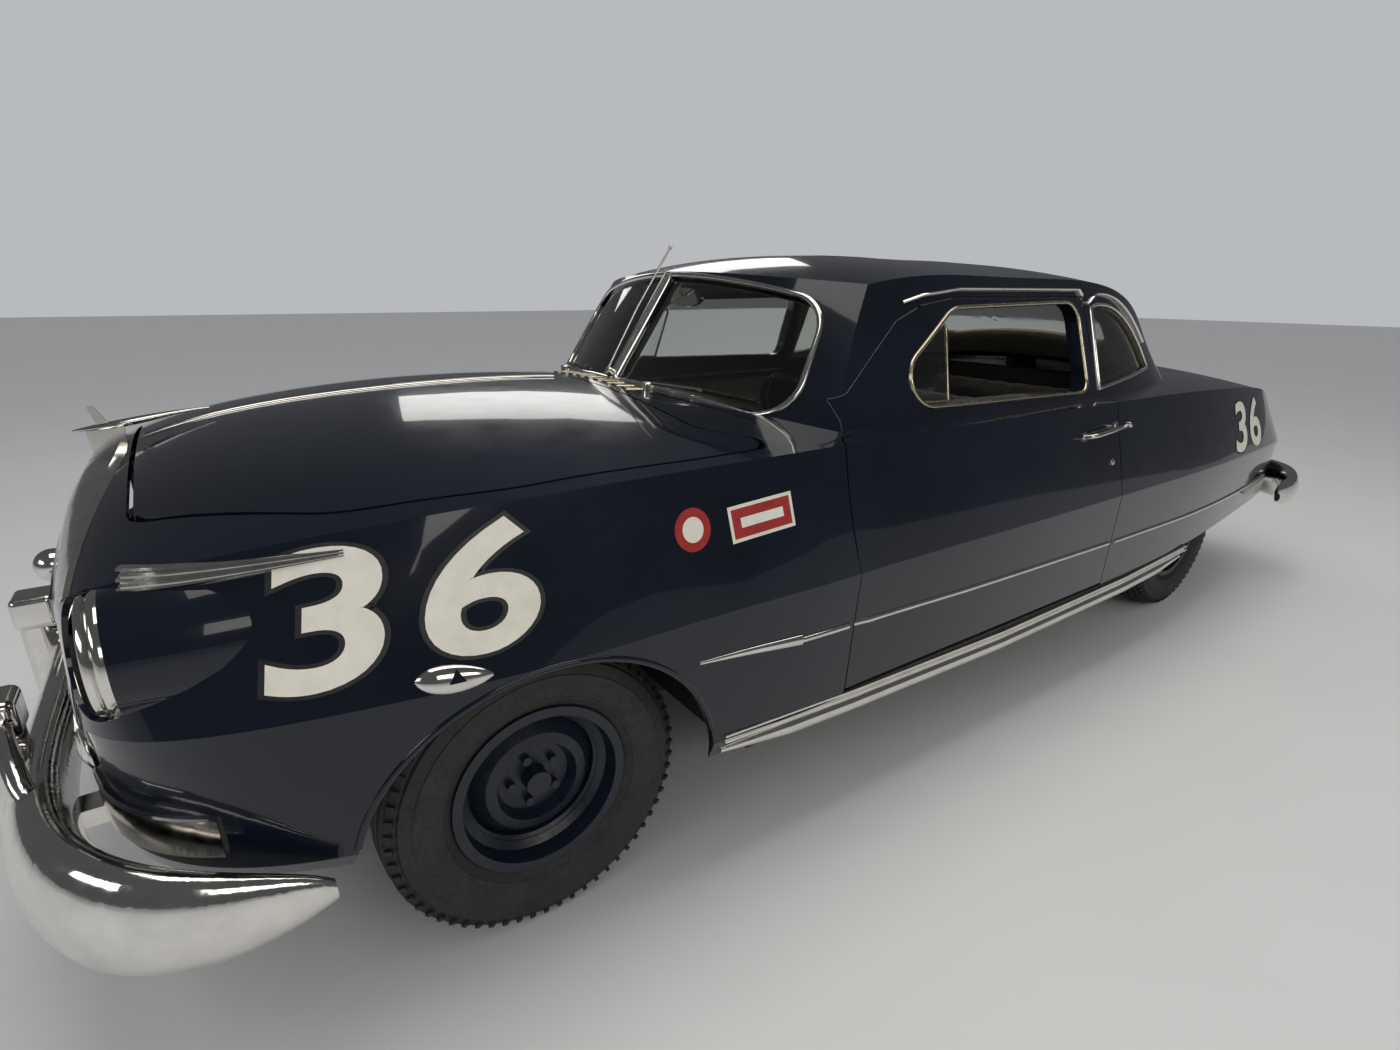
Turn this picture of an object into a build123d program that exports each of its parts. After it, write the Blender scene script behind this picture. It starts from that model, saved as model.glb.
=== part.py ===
from build123d import *
import math
import os
from collections import namedtuple

os.makedirs("parts", exist_ok=True)

# Overall size in millimetres: X forward, Y to the car's left, Z up from the ground
LENGTH = 5296
HALF_WIDTH = 980
HEIGHT = 1534
WHEELBASE = 3146
FRONT_OVERHANG = 985
FRONT_AXLE = LENGTH / 2 - FRONT_OVERHANG
CLEAR = 8
SEAT = 0.3

# Wheels and running gear
TYRE_RADIUS = 348
TYRE_WIDTH = 190
RIM_RADIUS = 204
RIM_WIDTH = 150
FRONT_TRACK = 1486
REAR_TRACK = 1410
LUG_CIRCLE = 57
LUGS = 5
SPINDLE = 16
TYRE_BEAD = 190
TYRE_SIDE = 268

# Sheet thickness of panels and of whole walls
SKIN = 20
DOOR_WALL = 78
ROOF_WALL = 38
FLOOR_TOP = 330
FLOOR_SHEET = 18

# Seams, measured from the front axle, forward positive
HINGE_LINE = -860
HINGE_OUT = 930
DOOR_NOSE = 75
DOOR_OPEN = 62
DOOR_RADIUS = 1246
HINGE_PIN = 8
HINGE_HEIGHTS = (470, 770)
HINGE_TALL = 60
HINGE_GAP = 6
STRAP = 20
STRAP_IN = 826
DOOR_SILL = 408
FIREWALL = -470
HOOD_FRONT = 632
HOOD_REAR = -500
HOOD_HALF = 862
HOOD_HINGE_X = 400
HOOD_HINGE_Z = 1030
HOOD_HINGE_Y = 505
HOOD_PIN = 6
DECK_FRONT = -3160
DECK_REAR = -4300
DECK_LIP = 640
DECK_HALF = 560
ARCH_RADIUS = 388
ARCH_CENTRE = 15

# Windshield: base and top on the centre line, and the curve across the car
GLASS_BASE_X = -632
GLASS_BASE_Z = 1135
GLASS_TOP_X = -868
GLASS_TOP_Z = 1480
GLASS_CURVE = 1700
GLASS = 6

# Lower body sections: place, top, shoulder corner, crease, sill corner
Station = namedtuple("Station", "at top belt_y belt_z crease_y crease_z low_y low_z base_y base_z")
BODY = [
    Station(790, 905, 375, 850, 475, 700, 450, 500, 415, 442),
    Station(745, 1000, 590, 910, 678, 715, 648, 492, 605, 425),
    Station(660, 1063, 712, 968, 811, 730, 785, 472, 738, 402),
    Station(480, 1118, 790, 1010, 905, 742, 885, 450, 830, 370),
    Station(200, 1152, 865, 1042, 962, 746, 940, 430, 880, 320),
    Station(-300, 1163, 903, 1060, 977, 746, 958, 405, 900, 292),
    Station(-550, 1148, 906, 1062, 979, 746, 960, 402, 903, 291),
    Station(-800, 1130, 908, 1064, HALF_WIDTH, 746, 962, 400, 905, 290),
    Station(-1500, 1126, 908, 1065, HALF_WIDTH, 745, 962, 400, 905, 290),
    Station(-1950, 1128, 905, 1062, 979, 745, 961, 404, 903, 294),
    Station(-2400, 1130, 900, 1058, 976, 745, 960, 410, 900, 300),
    Station(-3150, 1108, 860, 1030, 948, 742, 930, 440, 870, 380),
    Station(-3750, 1050, 780, 975, 880, 725, 862, 455, 800, 405),
    Station(-4080, 950, 690, 890, 790, 700, 775, 460, 720, 420),
    Station(-4225, 830, 560, 790, 650, 670, 640, 480, 590, 440),
]

# Roof sections: place, top, eave corner, foot
Bow = namedtuple("Bow", "at top eave_y eave_z foot_y")
ROOF = [
    Bow(-450, 1432, 690, 1375, 868),
    Bow(-1000, 1503, 712, 1430, 870),
    Bow(-1600, HEIGHT, 716, 1462, 872),
    Bow(-2200, 1522, 708, 1448, 862),
    Bow(-2480, 1478, 688, 1392, 845),
    Bow(-2720, 1385, 645, 1285, 812),
    Bow(-2920, 1255, 595, 1150, 765),
    Bow(-3080, 1120, 545, 1020, 715),
]
ROOF_FOOT = 985
EAVE_ROUND = 120


def at(place):
    """Turn a place measured from the front axle into the car's own X."""
    return FRONT_AXLE + place


def both(shape):
    """The shape and its mirror image across the car."""
    return [shape, mirror(shape, Plane.XZ)]


def halves(x0, x1, y0, y1, z0, z1):
    """A box from its corner values, with X from the front axle."""
    box = Box(x1 - x0, y1 - y0, z1 - z0)
    return Pos(at((x0 + x1) / 2), (y0 + y1) / 2, (z0 + z1) / 2) * box


def across(points, width, middle=0):
    """A side outline, X from the front axle and Z, extruded across the car."""
    wire = Polyline(*[(at(x), z) for x, z in points], close=True)
    face = make_face(wire)
    solid = extrude(Plane.XZ * face, width / 2, both=True)
    return Pos(0, middle, 0) * solid


def section(s, inset=0, floor=None):
    """One section of the lower body, inset by a wall thickness and floored where asked."""
    low = s.base_z if floor is None else floor
    k = inset
    top, crown = s.top - k, s.belt_z - k
    belt, crease = (s.belt_y - k, crown), (s.crease_y - k, s.crease_z)
    right = [belt, crease, (s.low_y - k, s.low_z), (s.base_y - k, low)]
    left = [(-y, z) for y, z in reversed(right)]
    with BuildSketch(Plane.YZ.offset(at(s.at))) as sk:
        with BuildLine():
            ThreePointArc(left[-1], (0, top), belt)
            Polyline(*right, *left)
        make_face()
        corners = sk.vertices().filter_by_position(Axis.Z, crown - 1, crown + 1)
        fillet(corners, min(130, s.belt_y * 0.3))
    return sk.sketch.face()


def body_loft(inset=0, stations=BODY, floor=None):
    return loft([section(s, inset, floor) for s in stations])


def bow(b, inset=0):
    """One section of the roof and its posts, inset by the roof's thickness."""
    eave = (b.eave_y - inset, b.eave_z - inset * 0.8)
    right = [eave, (b.foot_y - inset, ROOF_FOOT - inset)]
    left = [(-y, z) for y, z in reversed(right)]
    with BuildSketch(Plane.YZ.offset(at(b.at))) as sk:
        with BuildLine():
            ThreePointArc(left[-1], (0, b.top - inset), eave)
            Polyline(*right, *left)
        make_face()
        corners = sk.vertices().filter_by_position(Axis.Z, eave[1] - 1, eave[1] + 1)
        fillet(corners, min(EAVE_ROUND, (b.eave_z - ROOF_FOOT) * 0.8))
    return sk.sketch.face()


def screen_drum(offset):
    """The tilted cylinder on which the curved windshield lies, moved inwards by an offset."""
    rise = Vector(GLASS_TOP_X - GLASS_BASE_X, 0, GLASS_TOP_Z - GLASS_BASE_Z).normalized()
    out = Vector(rise.Z, 0, -rise.X)
    base = Vector(at(GLASS_BASE_X), 0, GLASS_BASE_Z)
    axis = Plane(origin=base - out * GLASS_CURVE - rise * 1600, z_dir=rise)
    return axis * extrude(Circle(GLASS_CURVE - offset), 4400)


def screen_plane():
    """A plane on the windshield's centre line, facing out, with its Y up the glass."""
    rise = Vector(GLASS_TOP_X - GLASS_BASE_X, 0, GLASS_TOP_Z - GLASS_BASE_Z).normalized()
    out = Vector(rise.Z, 0, -rise.X)
    return Plane(origin=(at(GLASS_BASE_X), 0, GLASS_BASE_Z), x_dir=(0, 1, 0), z_dir=out)


def roof_loft(inset=0):
    return loft([bow(b, inset) for b in ROOF]) & screen_drum(inset)


def side_prism(points, y0=300, y1=1100):
    """A side outline with X from the front axle, extruded over one side of the car."""
    face = make_face(Polyline(*[(at(x), z) for x, z in points], close=True))
    return Pos(0, y1, 0) * extrude(Plane.XZ * face, y1 - y0)


def save(name, *shapes):
    """Write one node from the solids that belong to it."""
    solids = []
    for shape in shapes:
        found = shape if isinstance(shape, (list, tuple)) else [shape]
        for one in found:
            solids.extend(one.solids())
    export_step(Compound(children=[Solid(s.wrapped) for s in solids]), f"parts/{name}.step")


def trim_outline(points, radii, z0, z1):
    """A plan outline, X from the front axle, with each corner rounded, extruded upwards."""
    path = FilletPolyline(*[(at(x), y) for x, y in points], radius=radii, close=True)
    return extrude(Pos(0, 0, z0) * make_face(path), z1 - z0)


def hood_plan(grow):
    """The hood's seam line seen from above, moved outwards by grow."""
    half = [
        (HOOD_FRONT + 1.4 * grow, 0),
        (HOOD_FRONT + 1.4 * grow, 560 + grow),
        (330, 775 + grow),
        (30, HOOD_HALF + grow),
        (HOOD_REAR - 170 - grow, HOOD_HALF + grow),
        (HOOD_REAR - grow, 690),
    ]
    mirrored = [(x, -y) for x, y in reversed(half[1:])]
    return trim_outline(half[1:] + mirrored, [90, 300, 500, 50, 90, 90, 50, 500, 300, 90], 700, 1400)


def deck_plan(grow):
    """The deck lid's seam line seen from above, moved outwards by grow."""
    front, rear, half = DECK_FRONT + grow, DECK_REAR - grow, DECK_HALF + grow
    points = [(front, half), (rear, half - 90), (rear, 90 - half), (front, -half)]
    return trim_outline(points, 80 + grow, 600, 1300)


def hinge_disc(radius, z0=200, z1=1500):
    """A cylinder about the left door's hinge pin."""
    return Pos(at(HINGE_LINE), HINGE_OUT, z0) * extrude(Circle(radius), z1 - z0)


def strap_pocket(z):
    """The space in the door that its hinge strap sweeps as the door opens."""
    side, reach = STRAP / 2 + 8, 160
    opened = math.radians(DOOR_OPEN - 90)
    tip = (reach * math.cos(opened), reach * math.sin(opened))
    fan = [(-side, side), (-side, -reach), (tip[0], -reach)]
    fan.append((tip[0] - side * math.sin(opened), tip[1] + side * math.cos(opened)))
    fan.append((side * 0.55, side))
    path = [(at(HINGE_LINE) + dx, HINGE_OUT + dy) for dx, dy in fan]
    return extrude(Pos(0, 0, z) * make_face(Polyline(*path, close=True)), HINGE_TALL)


def door_swing(gap):
    """The plan space of the left door: its round nose, and all behind it up to its round tail."""
    behind = halves(-2400, HINGE_LINE - gap, 400, 1100, 200, 1500) & hinge_disc(DOOR_RADIUS - gap)
    return behind + hinge_disc(DOOR_NOSE - gap)


# The door's side outline: up the hinge line, along the windshield post and under the eave
DOOR_TOP = 1404
DOOR_OUTLINE = [
    (-700, DOOR_SILL),
    (-700, 1085),
    (-905, 1170),
    (-1105, 1345),
    (-1210, 1385),
    (-1360, DOOR_TOP),
    (-2200, DOOR_TOP),
    (-2200, DOOR_SILL),
]


def door_region(gap):
    """The space of the left door, drawn in by a gap on every edge."""
    shift = [
        (-gap, gap), (-gap, 0), (-gap, -gap), (-gap, -gap), (0, -gap), (0, -gap), (gap, -gap), (gap, gap),
    ]
    points = [(x + dx, z + dz) for (x, z), (dx, dz) in zip(DOOR_OUTLINE, shift)]
    return side_prism(points, 500, 1100) & door_swing(gap)


# Windows: outlines in the plane of the windshield and in the side view
SCREEN = [(20, 10), (700, 38), (642, 388), (20, 392)]
SCREEN_ROUND = [12, 110, 105, 12]
QUARTER_WINDOW = [(-2142, 1366), (-2118, 1102), (-2560, 1148)]


def screen_prism(grow=0, depth=160):
    """The space of one windshield half, square to the glass on the centre line."""
    shift = [(-grow, -grow), (grow, -grow), (grow, grow), (-grow, grow)]
    points = [(y + dy, h + dh) for (y, h), (dy, dh) in zip(SCREEN, shift)]
    rounds = [r + grow for r in SCREEN_ROUND]
    face = make_face(FilletPolyline(*points, radius=rounds, close=True))
    return extrude(screen_plane() * face, depth, both=True) + extrude(screen_plane() * face, -330)


def quarter_prism(grow=0):
    """The space of the left quarter window, a half teardrop."""
    (x0, z0), (x1, z1), (x2, z2) = QUARTER_WINDOW
    top, low = (at(x0 + grow), z0 + grow), (at(x1 + grow), z1 - grow)
    tip = (at(x2 - grow), z2 - grow * 0.2)
    crown = (at(-2440 - grow), 1290 + grow)
    outline = [Line(top, low), Line(low, tip), ThreePointArc(tip, crown, top)]
    return Pos(0, 1000, 0) * extrude(Plane.XZ * make_face(outline), 500)


def rear_prism(grow=0):
    """The space of the rear window, square to the slope of the roof."""
    slope = Plane(origin=(at(-2800), 0, 1320), x_dir=(0, 1, 0), z_dir=(-0.55, 0, 0.835))
    low, high, rise = 500 + grow, 440 + grow, 165 + grow
    points = [(-low, -rise), (low, -rise), (high, rise), (-high, rise)]
    face = make_face(FilletPolyline(*points, radius=110 + grow, close=True))
    return extrude(slope * face, 260, both=True)


outer = body_loft()
under_skin = body_loft(SKIN, floor=60) & halves(-4205, 770, -1000, 1000, 0, 1300)
cabin_low = body_loft(DOOR_WALL, floor=FLOOR_TOP) & halves(-2850, FIREWALL, -1000, 1000, 0, 1300)
roof_outer = roof_loft()
roof_inner = roof_loft(ROOF_WALL)
door_gap = door_region(0)
door_both = door_gap + mirror(door_gap, Plane.XZ)

skin = outer - under_skin
hood_hole = hood_plan(0)
hood_body = hood_plan(-CLEAR)
deck_hole = deck_plan(0) & halves(-4400, DECK_FRONT + 20, -900, 900, DECK_LIP, 1300)
deck_body = deck_plan(-CLEAR)
inside_roof = roof_inner & halves(-2990, -560, -1000, 1000, 900, 1600)

hood = skin & hood_body & halves(HOOD_REAR - 300, 900, -900, 900, 880, 1300)
hood_pin = Pos(at(HOOD_HINGE_X), HOOD_HINGE_Y, HOOD_HINGE_Z) * Rot(-90, 0, 0)
lug_web = halves(HOOD_HINGE_X - 8, HOOD_HINGE_X + 8, HOOD_HINGE_Y, HOOD_HINGE_Y + 25, HOOD_HINGE_Z, 1100)
lug = hood_pin * extrude(Circle(12), 25) + (lug_web & body_loft(SKIN / 2))
lug = lug - hood_pin * Pos(0, 0, -5) * extrude(Circle(HOOD_PIN + SEAT), 40)
hood = hood + both(lug)
front_zone = halves(HINGE_LINE, 850, -1100, 1100, 250, 1300)
post = (body_loft(SKIN / 2) & halves(-780, -690, 830, 1000, 300, 1040)) - hinge_disc(DOOR_NOSE)
front_clip = (skin & front_zone) - hood_hole - inside_roof - both(hinge_disc(DOOR_NOSE))
arm_front, arm_back = HOOD_HINGE_X + 10, HOOD_HINGE_X - 10
arm_in, arm_low = HOOD_HINGE_Y + 31, HOOD_HINGE_Z - 60
hood_arm = halves(arm_back, arm_front, arm_in, 760, arm_low, arm_low + 18)
hood_arm = hood_arm + halves(arm_back, arm_front, arm_in, arm_in + 12, arm_low, HOOD_HINGE_Z + 10)
hood_arm = hood_arm + (halves(arm_back, arm_front, 735, 760, arm_low, 1050) & body_loft(SKIN / 2))
hood_arm = hood_arm + hood_pin * Pos(0, 0, -4) * extrude(Circle(HOOD_PIN), 40)
clip_parts = both(post) + both(hood_arm)
for z in HINGE_HEIGHTS:
    low, high = z + HINGE_GAP, z + HINGE_TALL - HINGE_GAP
    strap = halves(HINGE_LINE - STRAP / 2, HINGE_LINE + STRAP / 2, STRAP_IN, HINGE_OUT, low, high)
    strap = strap + halves(HINGE_LINE - STRAP / 2, -770, STRAP_IN, STRAP_IN + STRAP, low, high)
    pin = hinge_disc(HINGE_PIN, z - 14, z + HINGE_TALL + 14)
    clip_parts = clip_parts + both(strap + hinge_disc(STRAP / 2 + 2, low, high) + pin)

arch = Pos(at(ARCH_CENTRE), 0, TYRE_RADIUS) * (Plane.XZ * Circle(ARCH_RADIUS))
arch_cut = extrude(arch, 1200, both=True) - halves(-600, 600, -560, 560, -100, 1000)

GRILLE_HALF = 500
GRILLE_TOP = 815
GRILLE_LOW = 480
grille_hole = halves(640, 900, -GRILLE_HALF, GRILLE_HALF, GRILLE_LOW, GRILLE_TOP)
arch_room = halves(-400, 400, -1100, 1100, 200, TYRE_RADIUS)

# Headlamps with their bezels, and tail lamps
LAMP = (692, 712, 852)
LAMP_RADIUS = 88
BEZEL_RADIUS = 108
HOUSING_BACK = 130
lamp_axis = Pos(at(LAMP[0]), LAMP[1], LAMP[2]) * Rot(0, 90, 0)
lamp_hole = lamp_axis * Pos(0, 0, -300) * extrude(Circle(BEZEL_RADIUS - 12), 400)
housing = lamp_axis * Pos(0, 0, -90) * Cone(HOUSING_BACK, BEZEL_RADIUS - 1, 135)
housing = housing & halves(400, LAMP[0] - 22, 400, 1000, 600, 1100)
bezel_room = lamp_axis * Pos(0, 0, -21.5) * extrude(Circle(BEZEL_RADIUS + 0.5), 300)
lens = lamp_axis * Pos(0, 0, -222) * Sphere(230) & lamp_axis * Pos(0, 0, -20) * extrude(Circle(LAMP_RADIUS), 60)
headlamps = both(lamp_axis * Pos(0, 0, -90) * extrude(Circle(LAMP_RADIUS), 78) + lens)
bezel = lamp_axis * Pos(0, 0, -21) * extrude(Circle(BEZEL_RADIUS), 21)
bezel = fillet(bezel.edges().group_by(Axis.X)[-1], 14)
bezel = bezel + lamp_axis * Pos(0, 0, -80) * extrude(Circle(BEZEL_RADIUS - 12 - SEAT), 66)
bezel = bezel - lamp_axis * Pos(0, 0, -200) * extrude(Circle(LAMP_RADIUS + SEAT), 300)
tail_axis = Pos(at(-4150), 668, 790) * Rot(0, 90, 0)
tail_hole = tail_axis * extrude(Circle(48), 120)
tail_left = fillet((tail_axis * extrude(Circle(47), 118)).edges().group_by(Axis.X)[0], 20)
tail_lamps = both(tail_left)

front_clip = front_clip + clip_parts + both(housing)
front_clip = front_clip - ([arch_cut, arch_room, grille_hole] + both(lamp_hole) + both(bezel_room))

rear_zone = halves(-4400, HINGE_LINE, -1100, 1100, 250, 1300)
for disc in both(hinge_disc(DOOR_RADIUS)):
    rear_zone = rear_zone - disc
REAR_IRON = (408, 462, 480, 530)
y0, y1, z0, z1 = REAR_IRON
iron_hole = halves(-4300, -4150, y0 - CLEAR, y1 + CLEAR, z0 - CLEAR, z1 + CLEAR)
quarters = (skin & rear_zone) - [deck_hole, inside_roof] - both(tail_hole) - both(iron_hole)

door_solid = outer - cabin_low - halves(-2850, FIREWALL, -760, 760, 0, 1300)
door_low = door_solid & door_region(CLEAR / 2)
frame_shell = roof_outer - roof_inner - outer
door_frame = frame_shell & door_region(CLEAR / 2)
WINDOW = [(-985, 1122), (-1345, 1368), (-2040, 1380), (-2030, 1098)]
WINDOW_ROUND = [70, 130, 60, 40]
window_path = FilletPolyline(*[(at(x), z) for x, z in WINDOW], radius=WINDOW_ROUND, close=True)
window_cut = Pos(0, 1100, 0) * extrude(Plane.XZ * make_face(window_path), 600)
pockets = [strap_pocket(z) for z in HINGE_HEIGHTS]
pockets = pockets + [hinge_disc(HINGE_PIN + SEAT, z - 15, z + HINGE_TALL + 15) for z in HINGE_HEIGHTS]
door_left = door_low + (door_frame - window_cut) - pockets

roof = frame_shell - door_both

screen_left = screen_prism()
rear_hole = rear_prism()
quarter_left = quarter_prism()
roof = roof - both(screen_left) - both(quarter_left) - rear_hole
pane_layer = roof_loft(10) - roof_loft(10 + GLASS)
screen_layer = pane_layer - body_loft(-SEAT)
windshield = both(screen_layer & screen_prism(-SEAT))
rear_window = pane_layer & rear_prism(-SEAT)
quarter_glass = both(pane_layer & quarter_prism(-SEAT))

# Deck lid
deck_lid = (skin & deck_body) & halves(-4400, DECK_FRONT + 20, -900, 900, DECK_LIP + CLEAR, 1300)

HINGE_X = DECK_FRONT - CLEAR / 2
HINGE_Z = 1112
for y in (-400, 400):
    barrel = Pos(at(HINGE_X), y, HINGE_Z) * Rot(-90, 0, 0)
    bore = barrel * Pos(0, 0, -30) * extrude(Circle(4 + SEAT), 60)
    leaf = halves(HINGE_X - 60, HINGE_X - 3, y, y + 26, HINGE_Z - 26, HINGE_Z - 5)
    deck_lid = deck_lid + ((barrel * extrude(Circle(9), 26) + leaf) - bore)
    fixed = halves(HINGE_X + 3, HINGE_X + 60, y - 26, y - SEAT, HINGE_Z - 26, HINGE_Z - 5)
    pin = barrel * Pos(0, 0, -26) * (extrude(Circle(9), 26 - SEAT) + extrude(Circle(4), 50))
    quarters = quarters + fixed + pin

# Firewall, floor with its tunnel, kick-up and sills
TUNNEL_HALF = 125
TUNNEL_TOP = 455
BOOT_TOP = 585
SHELF_LOW = 1028
lining = body_loft(SKIN + 1, floor=FLOOR_TOP)
firewall = lining & halves(FIREWALL - 12, FIREWALL, -900, 900, FLOOR_TOP, 1300)
firewall = firewall - halves(-600, -400, -TUNNEL_HALF, TUNNEL_HALF, 0, TUNNEL_TOP)
firewall = firewall - (hood_plan(4) - body_loft(SKIN + 9, floor=FLOOR_TOP))
sill_zone = halves(-2150, -800, 800, 1100, 200, DOOR_SILL - CLEAR) & hinge_disc(DOOR_RADIUS - SEAT)
sills = both(outer & sill_zone)
pan = halves(-2500, FIREWALL - 12, TUNNEL_HALF, 800, FLOOR_TOP - FLOOR_SHEET, FLOOR_TOP)
tunnel = halves(-2500, FIREWALL - 12, -TUNNEL_HALF, TUNNEL_HALF, FLOOR_TOP - FLOOR_SHEET, TUNNEL_TOP)
tunnel = tunnel - halves(-2600, FIREWALL, 15 - TUNNEL_HALF, TUNNEL_HALF - 15, 0, TUNNEL_TOP - 15)
kick = halves(-2515, -2500, -800, 800, FLOOR_TOP - FLOOR_SHEET, BOOT_TOP)
kick = kick - halves(-2600, FIREWALL, 15 - TUNNEL_HALF, TUNNEL_HALF - 15, 0, TUNNEL_TOP - 15)
boot = halves(-4190, -2515, -500, 500, BOOT_TOP - 15, BOOT_TOP)
HOUSE = 420
house_ring = Pos(at(-WHEELBASE), 0, TYRE_RADIUS) * (Plane.XZ * (Circle(HOUSE) - Circle(HOUSE - 10)))
house_disc = Pos(at(-WHEELBASE), 0, TYRE_RADIUS) * (Plane.XZ * Circle(HOUSE))
house = Pos(0, 1000, 0) * extrude(house_ring, 500) & halves(-3700, -2600, 500, 1000, 500, 800)
house = house + (Pos(0, 510, 0) * extrude(house_disc, 10) & halves(-3700, -2600, 500, 510, 500, 800))
house = house & body_loft(SKIN + 6, floor=FLOOR_TOP)
bulkhead = halves(-2956, -2940 - SEAT, -490, 490, BOOT_TOP, SHELF_LOW)
shelf = halves(-3080, -2940 - SEAT, -490, 490, SHELF_LOW, SHELF_LOW + 12)
floor = both(pan) + [tunnel, kick, boot, bulkhead, shelf] + both(house) + sills

# Perimeter frame with front and rear rails and cross members
RAIL_TOP = FLOOR_TOP - FLOOR_SHEET - SEAT
BACK_RAIL_TOP = 570 - SEAT
side_rail = halves(-2590, -600, 690, 795, 205, RAIL_TOP)
front_rail = halves(-700, 640, 350, 420, 215, RAIL_TOP)
rear_rail = halves(-4100, -2515 - SEAT, 400, 470, 470, BACK_RAIL_TOP)
front_link = halves(-700, -600, 350, 795, 205, RAIL_TOP)
rear_link = halves(-2590, -2515 - SEAT, 400, 795, 205, RAIL_TOP)
riser = halves(-2590, -2515 - SEAT, 400, 470, 205, BACK_RAIL_TOP)
rail_left = side_rail + front_rail + rear_rail + front_link + rear_link + riser
frame = rail_left + mirror(rail_left, Plane.XZ)
CROSS_MEMBERS = [(560, 640, 215, 290), (-60, 90, 215, 285), (-700, -620, 215, 249), (-4100, -4040, 475, 569)]
for x0, x1, z0, z1 in CROSS_MEMBERS:
    frame = frame + halves(x0, x1, -400, 400, z0, z1)
frame = frame + halves(-1500, -1420, -795, 795, 215, 290)
HITCH_BOLT = 6.5
for y in (-80, 80):
    for z in (500, 544):
        frame = frame - Pos(at(-4120), y, z) * Rot(0, 90, 0) * extrude(Circle(HITCH_BOLT), 100)

# Engine, gearbox and driveline
engine = halves(-400, 330, -190, 190, 330, 930) + halves(-700, -400, -95, 95, 250, 430)
engine = engine + halves(-40, 40, -400, 400, RAIL_TOP + SEAT, 350)
shaft_length = 2330
drive_shaft = Pos(at(-700 - SEAT), 0, 345) * Rot(0, -90, 0) * extrude(Circle(36), shaft_length - 30)
axle_tube = Pos(at(-WHEELBASE), -640, TYRE_RADIUS) * Rot(-90, 0, 0) * extrude(Circle(38), 1280)
axle_tube = axle_tube + Pos(at(-WHEELBASE), -708, TYRE_RADIUS) * Rot(-90, 0, 0) * extrude(Circle(SPINDLE), 1416)
axle = axle_tube + Pos(at(-WHEELBASE), 0, TYRE_RADIUS) * Sphere(118)
for s in (-1, 1):
    axle = axle + halves(-WHEELBASE - 60, -WHEELBASE + 60, s * 435 - 30, s * 435 + 30, 303, 340)


def leaf_spring(y):
    """One leaf spring pack, bowed down over the axle."""
    ends = [(at(-2590), 430), (at(-WHEELBASE), 300), (at(-3740), 430)]
    low = [(x, z - 26) for x, z in ends]
    rear, front = Line(ends[2], low[2]), Line(low[0], ends[0])
    outline = [ThreePointArc(*ends), rear, ThreePointArc(*reversed(low)), front]
    return Pos(0, y + 30, 0) * extrude(Plane.XZ * make_face(outline), 60)


springs = [leaf_spring(y) for y in (-435, 435)]
fuel_tank = fillet(halves(-3980, -3560, -330, 330, 400, 570 - SEAT).edges().filter_by(Axis.Y), 40)

exhaust_path = FilletPolyline(
    (at(-120), -230, 420), (at(-420), -230, 190), (at(-2350), -230, 190), (at(-2750), -250, 235),
    (at(-3500), -300, 235), (at(-4150), -300, 300), radius=60,
)
exhaust = sweep(Plane(exhaust_path @ 0, z_dir=exhaust_path % 0) * Circle(25), path=exhaust_path)

# Wheels: tyre, rim with nuts and hub


def tyre():
    """A cross-ply tyre, hollow, about the Y axis."""
    half, bead = TYRE_WIDTH / 2, RIM_WIDTH / 2 - 6
    heel = Line((TYRE_BEAD, bead - 13), (RIM_RADIUS + 2, bead - 1))
    outer_side = ThreePointArc((RIM_RADIUS + 2, bead - 1), (TYRE_SIDE, half), (TYRE_RADIUS - 10, half - 18))
    tread = ThreePointArc((TYRE_RADIUS - 10, half - 18), (TYRE_RADIUS, 0), (TYRE_RADIUS - 10, 18 - half))
    inner_side = ThreePointArc((TYRE_RADIUS - 10, 18 - half), (TYRE_SIDE, -half), (RIM_RADIUS + 2, 1 - bead))
    wall = 12
    inside = [
        Line((RIM_RADIUS + 2, 1 - bead), (TYRE_BEAD, 13 - bead)),
        Line((TYRE_BEAD, 13 - bead), (TYRE_BEAD, 13 - bead + wall)),
        ThreePointArc((TYRE_BEAD, 13 - bead + wall), (TYRE_SIDE, -half + wall), (TYRE_RADIUS - 26, 28 - half)),
        ThreePointArc((TYRE_RADIUS - 26, 28 - half), (TYRE_RADIUS - 16, 0), (TYRE_RADIUS - 26, half - 28)),
        ThreePointArc((TYRE_RADIUS - 26, half - 28), (TYRE_SIDE, half - wall), (TYRE_BEAD, bead - 13 - wall)),
        Line((TYRE_BEAD, bead - 13 - wall), (TYRE_BEAD, bead - 13)),
    ]
    face = make_face([heel, outer_side, tread, inner_side] + inside)
    return revolve(Plane.XY * face, Axis.Y)


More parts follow.
